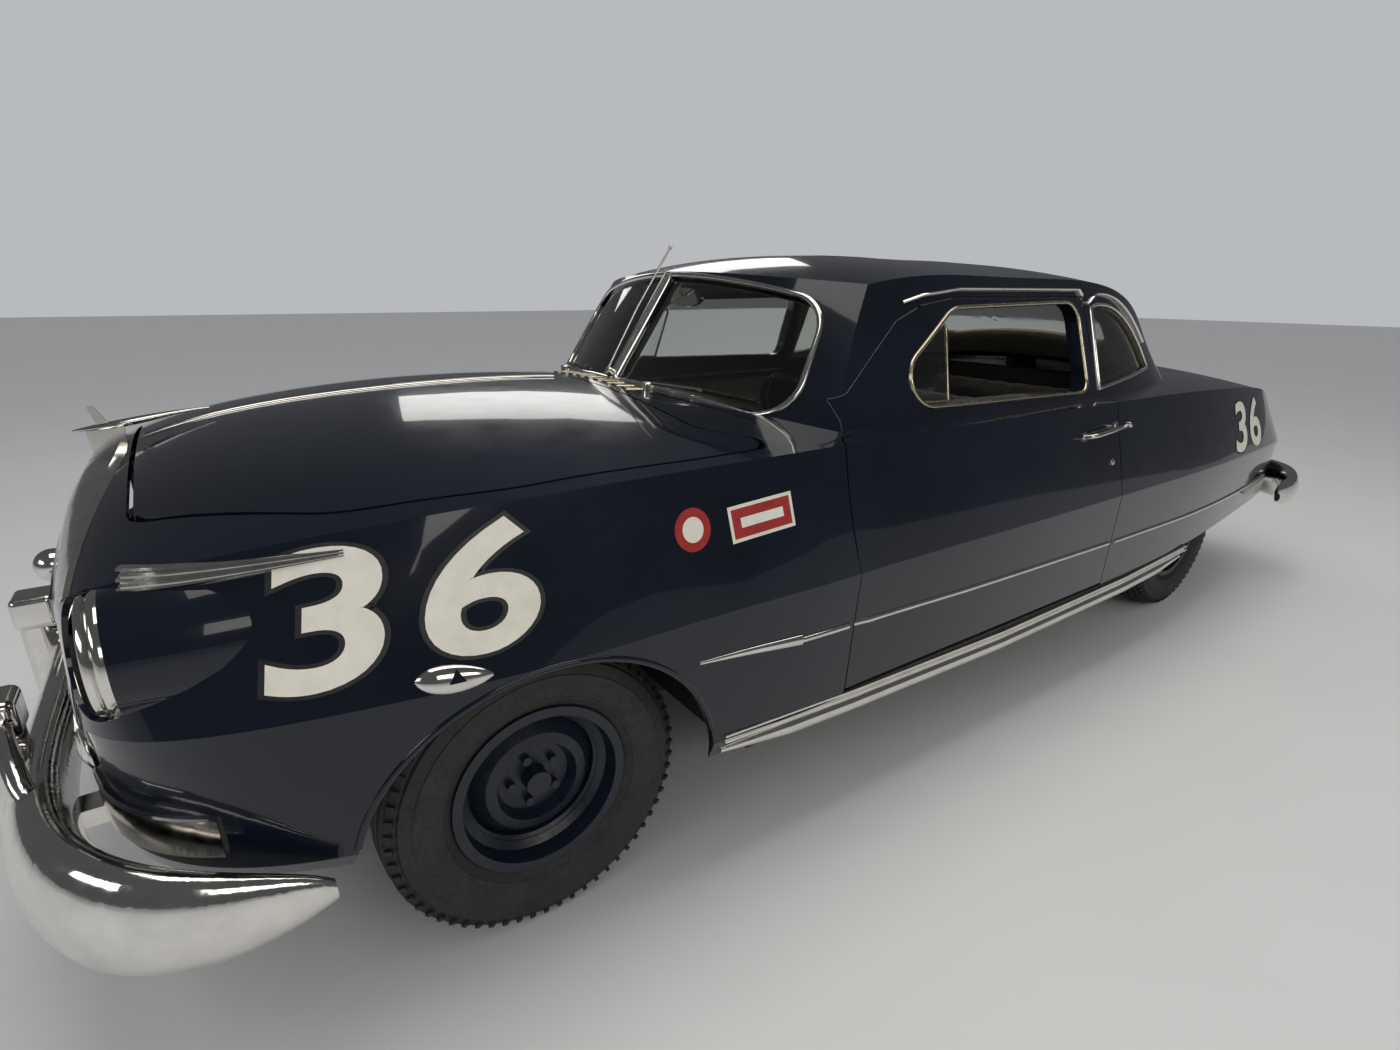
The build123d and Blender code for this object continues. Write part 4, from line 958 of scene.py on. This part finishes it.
class SCAR_OT_fittings(bpy.types.Operator):
    """Door handles with their locks, fender marks, wipers, hood strip, cowl inlet and aerial"""

    bl_idname = "stock_car.fittings"
    bl_label = "Fittings"

    def execute(self, context):
        for side, word in SIDES:
            self.door_handle(side, word)
            self.fender_mark(side, word)
            self.wiper(side, word)
        lay_strip("hood_centre_strip", [(at(0.615), 0, ABOVE), (at(-0.430), 0, ABOVE)], DOWN, "hood",
                  half_round(0.016, 0.007), gap=0.05)
        self.cowl_inlet()
        self.aerial()
        return {"FINISHED"}

    def door_handle(self, side, word):
        """A pull handle on two feet, its push button and the lock below."""
        (front, normal), (rear, _) = (side_spot(*end, side) for end in HANDLE_ENDS)
        out, run = normal * 0.036, rear - front
        bm = bmesh.new()
        bar = [front, front + out * 0.75, front + out + run * 0.08, front.lerp(rear, 0.5) + out * 1.12,
               rear + out - run * 0.08, rear + out * 0.75, rear]
        tube(bm, bar, 0.0095, up=(0.05, 0, 1), flat=0.75, steps=12)
        for foot in (front, rear):
            knob(bm, foot - normal * 0.002, normal, 0.016, 0.006)
        knob(bm, rear + out * 0.9 + run.normalized() * 0.012, normal, 0.010, 0.012, dome=0.004)
        lock, direction = side_spot(*DOOR_LOCK, side)
        knob(bm, lock - direction * 0.001, direction, 0.011, 0.005, dome=0.002)
        finished(f"door_handle_{word}", bm, f"door_{word}")

    def fender_mark(self, side, word):
        """The drop-shaped marker above the front wheel, with its small raised arrow."""
        strip_on_side(f"fender_mark_{word}", FENDER_MARK, side, "body", half_round(0.054, 0.014, steps=8),
                      lambda i, total: max(0.12, math.sin(math.pi * (i / total) ** 0.8) ** 0.6), gap=0.006)
        spot, normal = side_spot(*FENDER_ARROW, side)
        bm = bmesh.new()
        knob(bm, spot + normal * 0.008, normal, 0.017, 0.008, 3)
        finished(f"fender_arrow_{word}", bm, slot="paint")

    def wiper(self, side, word):
        """A pivot on the cowl, its arm and a blade that lies along the foot of the glass."""
        spindle, normal = drop_to_skin((at(-0.600), 0.285 * side, ABOVE), DOWN)
        reach = on_screen(0.600 * side, 0.070, -0.008)
        heel = on_screen(0.235 * side, 0.032, -0.008)
        middle = heel.lerp(reach, 0.5) + SCREEN_OUT * 0.012
        bm = bmesh.new()
        knob(bm, spindle - normal * 0.004, normal, 0.016, 0.022, dome=0.010)
        bend = spindle.lerp(middle, 0.5) + SCREEN_OUT * 0.028
        tube(bm, [spindle + normal * 0.024, bend, middle], 0.0045, steps=8)
        finished(f"wiper_arm_{word}", bm)
        bm = bmesh.new()
        blade = [heel + SCREEN_OUT * 0.009, middle, reach + SCREEN_OUT * 0.009]
        tube(bm, blade, 0.0055, up=SCREEN_OUT, flat=1.3, steps=6)
        finished(f"wiper_blade_{word}", bm, slot="black_plastic")

    def cowl_inlet(self):
        """The bright slats of the air inlet ahead of the windshield."""
        bm = bmesh.new()
        for n in range(9):
            across = -0.24 + 0.06 * n
            spots = [drop_to_skin((at(a), across, ABOVE), DOWN) for a in (-0.545, -0.575, -0.605)]
            sweep(bm, [s for s, _ in spots], [away for _, away in spots], half_round(0.040, 0.005))
        finished("cowl_grille", bm, surface="aged_bright")

    def aerial(self):
        """The mast on the windshield's centre bar."""
        foot = on_screen(0, 0.020, 0.012)
        top = Vector((at(-0.862), 0, 1.545))
        bm = bmesh.new()
        knob(bm, foot - SCREEN_OUT * 0.004, SCREEN_OUT, 0.015, 0.020, dome=0.006)
        middle = foot.lerp(top, 0.5) + SCREEN_OUT * 0.016
        tube(bm, [foot + SCREEN_OUT * 0.018, middle, top], 0.0035, up=(0, 1, 0))
        knob(bm, top, SCREEN_RISE, 0.006, 0.006, dome=0.004)
        finished("aerial", bm)


# Sill moulding: its line, as (along, height), with the ribbed strip over it and the round rail under it
SILL_LINE = [(-0.400, 0.372), (-0.826, 0.352), (-1.518, 0.335), (-2.302, 0.345), (-2.790, 0.372)]
SILL_STRIP_UP, SILL_RAIL_DOWN, SILL_RAIL_IN = 0.034, 0.006, 0.012
# Front wheel opening: its middle along the car from the axle, its radius, and where its lip starts and ends
ARCH_MIDDLE, ARCH_RADIUS = 0.015, 0.392
ARCH_DEGREES = range(16, 166, 4)


class SCAR_OT_sills(bpy.types.Operator):
    """Ribbed sill mouldings, rolled wheel arch lips and the rims of the tail lamps"""

    bl_idname = "stock_car.sills"
    bl_label = "Sills and arches"

    def execute(self, context):
        for side, word in SIDES:
            self.sill(side, word)
            self.arch_lip(side, word)
            self.tail_rim(side, word)
        return {"FINISHED"}

    def sill(self, side, word):
        """A ribbed strip and a round rail that thins at both ends."""
        line = dense([Vector(place) for place in SILL_LINE], 0.06)
        strip = [beside((p.x, p.y + SILL_STRIP_UP), side) for p in line]
        rail = [beside((p.x, p.y - SILL_RAIL_DOWN), side) - Vector((0, SILL_RAIL_IN * side, 0)) for p in line]
        sizes = [min(1.0, 0.35 + 0.65 * min(i, len(line) - 1 - i) / 4) for i in range(len(line))]
        up = [Vector((0, side, 0.05))] * len(line)
        bm = bmesh.new()
        sweep(bm, strip, up, ribbed(0.030, 0.014, 2, 0.012))
        sweep(bm, rail, up, round_profile(0.026, 1.0, 14), scales=sizes)
        finished(f"sill_moulding_{word}", bm)

    def arch_lip(self, side, word):
        """The rolled edge of the front wheel opening."""
        spots = []
        for turn in map(math.radians, ARCH_DEGREES):
            place = ARCH_MIDDLE + ARCH_RADIUS * math.cos(turn)
            spot, normal = side_spot(place, TYRE_RADIUS + ARCH_RADIUS * math.sin(turn), side)
            spots.append((spot - normal * 0.001, normal))
        laid(f"arch_lip_{word}", spots, "body", round_profile(0.0075, 0.8, 8), slot="paint", angle=60)

    def tail_rim(self, side, word):
        """The bright ring round a tail lamp."""
        low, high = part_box("tail_lamps")
        radius = (high.z - low.z) / 2
        centre = Vector((low.x - 0.001, (abs(high.y) - radius) * side, (low.z + high.z) / 2))
        bm = bmesh.new()
        tube(bm, circle(centre, 0.0525, 32, 0.016), 0.006, up=(1, 0, 0), closed=True)
        finished(f"tail_lamp_rim_{word}", bm)


# Cushions: name, the node it stands for, lowest and highest corner (along, across, height), and how far a
# point may swell. Around each the cover leaves a gap.
Cushion = namedtuple("Cushion", "name node low high cap")
CUSHIONS = [
    Cushion("front_seat_cushion", "front_seat", (-1.950, -0.640, 0.458), (-1.440, 0.640, 0.582), 0.026),
    Cushion("front_seat_back", None, (-2.108, -0.640, 0.500), (-1.962, 0.640, 1.058), 0.026),
    Cushion("rear_seat_cushion", "rear_seat", (-2.826, -0.480, 0.588), (-2.480, 0.480, 0.722), 0.024),
    Cushion("rear_seat_back", None, (-2.938, -0.480, 0.640), (-2.832, 0.480, 1.020), 0.022),
]
COVER_GAP = 0.016
# Pleats, as shares of a cushion's width, and how wide and deep each is, the middle seam deepest
PLEATS = (-0.36, -0.24, -0.12, 0.0, 0.12, 0.24, 0.36)
PLEAT_WIDTH, PLEAT_DEPTH, SEAM_DEPTH = 0.011, 0.006, 0.012
SWELL_FRAMES = 20


def swell(piece, pressure, cap):
    """Blow a closed piece up as cloth, let no point move further than a cap, and keep the shape."""
    scene = bpy.context.scene
    rest = [v.co.copy() for v in piece.data.vertices]
    cloth = piece.modifiers.new("swell", "CLOTH")
    cloth.settings.use_pressure = True
    cloth.settings.uniform_pressure_force = pressure
    cloth.settings.effector_weights.gravity = 0
    cloth.point_cache.frame_start, cloth.point_cache.frame_end = 1, SWELL_FRAMES
    for step in range(1, SWELL_FRAMES + 1):
        scene.frame_set(step)
    evaluated = piece.evaluated_get(bpy.context.evaluated_depsgraph_get())
    swollen = [v.co.copy() for v in evaluated.data.vertices]
    piece.modifiers.remove(cloth)
    scene.frame_set(1)
    for vertex, here, there in zip(piece.data.vertices, rest, swollen):
        move = there - here
        vertex.co = here + move * min(1.0, cap / max(move.length, 1e-6))


def stuffed(cushion):
    """One cushion: a rounded block, remeshed, swollen by cloth and drawn in where it is sewn."""
    (back, right, low), (front, left, high) = cushion.low, cushion.high
    low = Vector((at(back) + COVER_GAP, right + COVER_GAP, low + COVER_GAP * 0.5))
    high = Vector((at(front) - COVER_GAP, left - COVER_GAP, high - COVER_GAP))
    bm = bmesh.new()
    block(bm, low, high, min(high - low) * 0.36, 5)
    piece = placed(cushion.name, mesh_of(cushion.name, bm), "body", "seat_cloth", 80)
    remesh = piece.modifiers.new("remesh", "REMESH")
    remesh.mode = "VOXEL"
    remesh.voxel_size = 0.018
    remesh.use_smooth_shade = True
    seen = piece.evaluated_get(bpy.context.evaluated_depsgraph_get())
    piece.data = bpy.data.meshes.new_from_object(seen)
    piece.modifiers.clear()
    swell(piece, 4.0, cushion.cap)
    for vertex in piece.data.vertices:
        for share in PLEATS:
            away = abs(vertex.co.y - (left - right) * share)
            depth = PLEAT_DEPTH if share else SEAM_DEPTH
            if away < 0.05:
                vertex.co -= vertex.normal * depth * math.exp(-(away / PLEAT_WIDTH) ** 2)
    piece.data.materials.clear()
    piece.data.materials.append(material("seat_cloth"))
    piece.data.shade_smooth()
    finer = piece.modifiers.new("finer", "SUBSURF")
    finer.levels = finer.render_levels = 1
    if cushion.node:
        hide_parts(cushion.node)


class SCAR_OT_seats(bpy.types.Operator):
    """Stuffed bench seats with sewn pleats"""

    bl_idname = "stock_car.seats"
    bl_label = "Seats"

    def execute(self, context):
        for cushion in CUSHIONS:
            stuffed(cushion)
        return {"FINISHED"}


# Door card: its ends along the car, its heights, and how far it stands off the wall and how thick it is
CARD_ALONG, CARD_HEIGHTS = (-0.960, -2.020), (0.450, 1.030)
CARD_LIFT, CARD_THICK = 0.004, 0.006
# Dials: (across, height, radius), with marks every 30 degrees from the first
DIALS = [(0.380, 0.990, 0.066), (0.520, 0.985, 0.036), (0.240, 0.985, 0.036)]
FIRST_MARK, MARK_STEP, NEEDLE = -120, 30, -118
# Steering wheel: its middle (along, across, height), its axis, and the horn ring's radius
WHEEL_MIDDLE = (-1.170, 0.380, 0.985)
WHEEL_AXIS = Vector((-0.43, 0, 0.285)).normalized()
HORN_RADIUS = 0.118
# Mats: the cabin floor's height, and the ends of a mat along and across the car
FLOOR_TOP = 0.331
MAT_ALONG, MAT_ACROSS = (-1.400, -0.500), (0.150, 0.740)
PEDALS = [(0.300, 0.050), (0.400, 0.055), (0.510, 0.060)]


def between(ends, share):
    """The place at a share of the way from -1 to 1 between two ends."""
    return ends[0] + (ends[1] - ends[0]) * (share + 1) / 2


class SCAR_OT_cabin(bpy.types.Operator):
    """Door cards, roof lining, dash dials, mirror, pedals, mats and the steering wheel's horn ring"""

    bl_idname = "stock_car.cabin"
    bl_label = "Cabin"

    def execute(self, context):
        self.roof_lining()
        self.dash_dials()
        self.dash_trim()
        self.steering()
        self.mirror()
        self.floor_things()
        for side, word in SIDES:
            self.door_card(side, word)
        return {"FINISHED"}

    def door_card(self, side, word):
        """Cloth panel, armrest, window crank and catch inside a door."""
        body = f"door_{word}"
        tree = skin_tree(body)
        outward = Vector((0, side, 0))
        bm = bmesh.new()
        bmesh.ops.create_grid(bm, x_segments=16, y_segments=8, size=1.0)
        for v in bm.verts:
            start = Vector((at(between(CARD_ALONG, v.co.x)), 0.3 * side, between(CARD_HEIGHTS, v.co.y)))
            v.co = tree.ray_cast(start, outward)[0] - Vector((0, side * CARD_LIFT, 0))
        thicken(bm, bm.faces[:], (0, -side * CARD_THICK, 0))
        finished(f"door_card_{word}", bm, body, "seat_cloth", "roof_lining", 40)
        inner = tree.ray_cast(Vector((at(-1.5), 0.3 * side, 0.75)), outward)[0]
        wall = abs(inner.y) - 0.010
        bm = bmesh.new()
        low, high = sorted(((wall - 0.050) * side, (wall + 0.004) * side))
        block(bm, (at(-1.90), low, 0.760), (at(-1.42), high, 0.800), 0.014)
        finished(f"armrest_{word}", bm, body, "seat_cloth", "seat_cloth", 50)
        bm = bmesh.new()
        for height in (0.82, 0.93):
            hub = Vector((at(-1.28), (wall + 0.004) * side, height))
            grip = hub + Vector((0.085, -0.020 * side, -0.040))
            knob(bm, hub, -outward, 0.022, 0.014, dome=0.004)
            tube(bm, [hub + Vector((0, -0.016 * side, 0)), grip], 0.005, up=outward, flat=0.8)
            knob(bm, grip, -outward, 0.009, 0.022, dome=0.004)
        finished(f"door_crank_{word}", bm, body)

    def roof_lining(self):
        """A cloth lining a little inside the roof's inner skin."""
        bm = bmesh.new()
        bm.from_mesh(NODES["roof"].data)
        bmesh.ops.remove_doubles(bm, verts=bm.verts, dist=1e-5)
        bm.normal_update()
        middle = Vector((at(-1.7), 0, 1.05))
        outside = [face for face in bm.faces
                   if face.normal.dot((middle - face.calc_center_median()).normalized()) < 0.35]
        bmesh.ops.delete(bm, geom=outside, context="FACES")
        for v in bm.verts:
            v.co += v.normal * 0.004
        placed("roof_lining", mesh_of("roof_lining", bm), "body", "roof_lining", 50)

    def dash_dials(self):
        """A large round speed dial and two small dials, with plain marks."""
        rims, faces, marks = bmesh.new(), bmesh.new(), bmesh.new()
        for across, height, radius in DIALS:
            centre = Vector((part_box("dash")[0].x, across, height))
            tube(rims, circle(centre, radius, 40, -0.004), 0.005, up=(1, 0, 0), closed=True)
            knob(faces, centre, (-1, 0, 0), radius, 0.003, 40)
            hands = [(0.004, FIRST_MARK + MARK_STEP * n, 0.78, 0.0025, 0.18) for n in range(9)]
            hands.append((0.005, NEEDLE, 0.30, 0.002, 0.72))
            for off, degrees, middle, width, length in hands:
                place = Matrix.Translation(centre + Vector((-off, 0, 0)))
                place = place @ Matrix.Rotation(math.radians(degrees), 4, "X")
                place = place @ Matrix.Translation((0, 0, radius * middle))
                shape = Matrix.Diagonal((0.001, width, radius * length, 1))
                bmesh.ops.create_cube(marks, size=1.0, matrix=place @ shape)
        finished("dial_rims", rims, surface="aged_bright")
        finished("dial_faces", faces, slot="black_plastic")
        finished("dial_marks", marks, slot="paint", surface="number")

    def dash_trim(self):
        """Glovebox lid, speaker slats, control knobs and a bright rail along the dash."""
        face_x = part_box("dash")[0].x
        bm = bmesh.new()
        block(bm, (face_x - 0.006, -0.640, 0.930), (face_x + 0.002, -0.300, 1.035), 0.004)
        for n in range(7):
            z = 0.945 + 0.013 * n
            block(bm, (face_x - 0.006, -0.130, z), (face_x + 0.002, 0.130, z + 0.006), 0.0015, 1)
        finished("dash_panels", bm, slot="dash_paint", angle=50)
        bm = bmesh.new()
        tube(bm, [(face_x - 0.003, across, 0.918) for across in (-0.700, 0.700)], 0.006, flat=0.6)
        for across in (-0.245, -0.200, 0.165, 0.200):
            knob(bm, (face_x + 0.001, across, 0.960), (-1, 0, 0), 0.010, 0.020, dome=0.006)
        knob(bm, (face_x - 0.004, -0.470, 1.010), (-1, 0, 0), 0.009, 0.012, dome=0.004)
        finished("dash_rail", bm, surface="aged_bright")

    def steering(self):
        """The horn ring on the steering wheel and the gear lever on its column."""
        axis = WHEEL_AXIS
        hub = Vector((at(WHEEL_MIDDLE[0]), *WHEEL_MIDDLE[1:]))
        across = Vector((0, 1, 0))
        up = axis.cross(across)
        turns = [math.tau * i / 48 for i in range(48)]
        ring = [hub + axis * 0.012 + (across * math.cos(t) + up * math.sin(t)) * HORN_RADIUS for t in turns]
        bm = bmesh.new()
        tube(bm, ring, 0.0042, up=axis, closed=True)
        for side, _ in SIDES:
            end = hub + axis * 0.012 + across * HORN_RADIUS * side
            tube(bm, [hub + axis * 0.014, end], 0.004, up=axis)
        knob(bm, hub + axis * 0.010, axis, 0.036, 0.012, dome=0.010)
        finished("horn_ring", bm, "steering_wheel")
        root = hub - axis * 0.150
        tip = root + Vector((0.030, -0.210, 0.075))
        bm = bmesh.new()
        tube(bm, [root, root.lerp(tip, 0.5) + Vector((0, 0, 0.01)), tip], 0.005)
        knob(bm, tip, tip - root, 0.013, 0.012, dome=0.010)
        finished("gear_lever", bm)

    def mirror(self):
        """The oval mirror that hangs from the middle of the header."""
        stem = on_screen(0, 0.385, -0.030)
        centre = stem + Vector((-0.055, 0, -0.045))
        bm = bmesh.new()
        knob(bm, centre + Vector((0.006, 0, 0)), (-1, 0, -0.08), 0.030, 0.012, 40, dome=0.004)
        bmesh.ops.scale(bm, vec=(1, 3.2, 1), verts=bm.verts, space=Matrix.Translation(-centre))
        tube(bm, [stem, centre + Vector((0.008, 0, 0.006))], 0.005, up=(0, 1, 0))
        finished("rear_view_mirror", bm)

    def floor_things(self):
        """Ribbed rubber mats and the three pedals."""
        bm = bmesh.new()
        for side, _ in SIDES:
            low, high = sorted(across * side for across in MAT_ACROSS)
            back, front = MAT_ALONG
            block(bm, (at(back), low, FLOOR_TOP), (at(front), high, FLOOR_TOP + 0.006), 0.002, 1)
            for n in range(22):
                rib = -1.380 + 0.040 * n
                block(bm, (at(rib), low + 0.02, FLOOR_TOP + 0.005),
                      (at(rib + 0.018), high - 0.02, FLOOR_TOP + 0.009))
        finished("floor_mats", bm, slot="tyre", angle=50)
        bm = bmesh.new()
        for across, width in PEDALS:
            centre = Vector((at(-0.640), across, 0.440))
            half = Vector((0.008, width / 2, 0.035))
            block(bm, centre - half, centre + half, 0.005)
            tube(bm, [centre, centre + Vector((0.155, 0, -0.060))], 0.007, up=(0, 1, 0))
        finished("pedals", bm, slot="black_plastic", angle=50)


# Lamps: name, place, what it points at, size, share of the overhead lamp's power, and colour
LAMPS = [
    ("overhead", (0.0, 0.5, 5.2), (0, 0, 0.6), (6.5, 2.6), 1.0, (1.0, 0.97, 0.92)),
    ("near_side", (1.0, 6.5, 3.4), (0, 0.4, 0.6), (5.0, 1.6), 0.55, (1.0, 0.96, 0.9)),
    ("nose", (7.0, 1.5, 3.2), (2.0, 0, 0.6), (3.0, 1.4), 0.35, (0.95, 0.97, 1.0)),
    ("far_side", (-2.0, -6.0, 3.6), (0, 0, 0.8), (5.0, 1.4), 0.35, (1.0, 0.98, 0.95)),
]
# Camera: place (along, across, height), and its yaw, pitch and roll in radians
CAMERA_PLACE = (0.4854, 2.1254, 1.427)
CAMERA_TURN = (-2.1776, -0.3198, 0.0073)


class SCAR_OT_studio(bpy.types.Operator):
    """Pale floor, soft lamps and the camera"""

    bl_idname = "stock_car.studio"
    bl_label = "Studio"

    def execute(self, context):
        studio = context.scene.car_studio
        self.floor(studio)
        self.room(context.scene, studio)
        for name, place, aim, size, share, colour in LAMPS:
            light = bpy.data.lights.new(name, "AREA")
            light.shape = "RECTANGLE"
            light.size, light.size_y = size
            light.energy = studio.lamp_power * share
            light.color = colour
            lamp = in_scene(name, light)
            lamp.location = place
            lamp.rotation_euler = (Vector(aim) - Vector(place)).to_track_quat("-Z", "Y").to_euler()
        self.camera(context.scene, studio)
        context.scene.view_settings.view_transform = "Standard"
        return {"FINISHED"}

    def floor(self, studio):
        """A pale matt floor that keeps the shadow and has a faint mottle."""
        colour = tuple(studio.floor)
        paint = shader("studio_floor", colour, 0.55)
        tint(paint, speckle(paint, 1.5, 3.0), shade(colour, 0.97), colour)
        bm = bmesh.new()
        bmesh.ops.create_grid(bm, x_segments=2, y_segments=2, size=40.0)
        floor = in_scene("studio_floor", mesh_of("studio_floor", bm))
        floor.data.materials.append(paint)

    def room(self, scene, studio):
        """An even room, with its own strength in reflections and where the camera sees it."""
        world = bpy.data.worlds.new("studio_world")
        scene.world = world
        world.use_nodes = True
        tree = world.node_tree
        back = tree.nodes["Background"]
        back.inputs["Color"].default_value = (0.80, 0.82, 0.86, 1)
        rays = node(world, "ShaderNodeLightPath")
        level = node(world, "ShaderNodeMapRange", To_Min=studio.room_light, To_Max=studio.room_mirror)
        link(world, rays.outputs["Is Glossy Ray"], level.inputs["Value"])
        seen = node(world, "ShaderNodeMix", B=studio.backdrop)
        link(world, rays.outputs["Is Camera Ray"], seen.inputs["Factor"])
        link(world, level.outputs["Result"], seen.inputs["A"])
        link(world, seen.outputs["Result"], back.inputs["Strength"])

    def camera(self, scene, studio):
        """The camera, where the photograph's was."""
        yaw, pitch, roll = CAMERA_TURN
        flat = math.cos(pitch)
        ahead = Vector((math.cos(yaw) * flat, math.sin(yaw) * flat, math.sin(pitch)))
        right = Vector((math.sin(yaw), -math.cos(yaw), 0))
        above = right.cross(ahead)
        level = math.cos(roll) * right + math.sin(roll) * above
        upward = math.cos(roll) * above - math.sin(roll) * right
        turn = Matrix((level, upward, -ahead)).transposed().to_4x4()
        view = bpy.data.cameras.new("camera")
        view.lens = studio.lens
        view.sensor_width = 36
        view.clip_start = 0.02
        camera = in_scene("camera", view)
        along, across, height = CAMERA_PLACE
        camera.matrix_world = Matrix.Translation((at(along), across, height)) @ turn
        scene.camera = camera


class SCAR_PT_panel(bpy.types.Panel):
    """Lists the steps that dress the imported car"""

    bl_label = "Stock car"
    bl_idname = "SCAR_PT_panel"
    bl_space_type = "VIEW_3D"
    bl_region_type = "UI"
    bl_category = "Stock car"

    def draw(self, context):
        for step in STEPS:
            self.layout.operator(step.bl_idname)
        for group in (context.scene.car_finish, context.scene.car_trim, context.scene.car_studio):
            column = self.layout.column()
            for key in group.__annotations__:
                column.prop(group, key)


STEPS = (
    SCAR_OT_materials, SCAR_OT_tyres, SCAR_OT_side_trim, SCAR_OT_numbers, SCAR_OT_lamps, SCAR_OT_window_trim,
    SCAR_OT_fittings, SCAR_OT_sills, SCAR_OT_seats, SCAR_OT_cabin, SCAR_OT_studio,
)
GROUPS = {"car_finish": CarFinish, "car_trim": CarTrim, "car_studio": CarStudio}


def register():
    for group in GROUPS.values():
        bpy.utils.register_class(group)
    for name, group in GROUPS.items():
        setattr(bpy.types.Scene, name, PointerProperty(type=group))
    for step in (*STEPS, SCAR_PT_panel):
        bpy.utils.register_class(step)


def unregister():
    for step in (SCAR_PT_panel, *reversed(STEPS)):
        bpy.utils.unregister_class(step)
    for name in GROUPS:
        delattr(bpy.types.Scene, name)
    for group in GROUPS.values():
        bpy.utils.unregister_class(group)


def main():
    register()
    for step in STEPS:
        group, name = step.bl_idname.split(".")
        getattr(getattr(bpy.ops, group), name)()


if __name__ == "__main__":
    main()
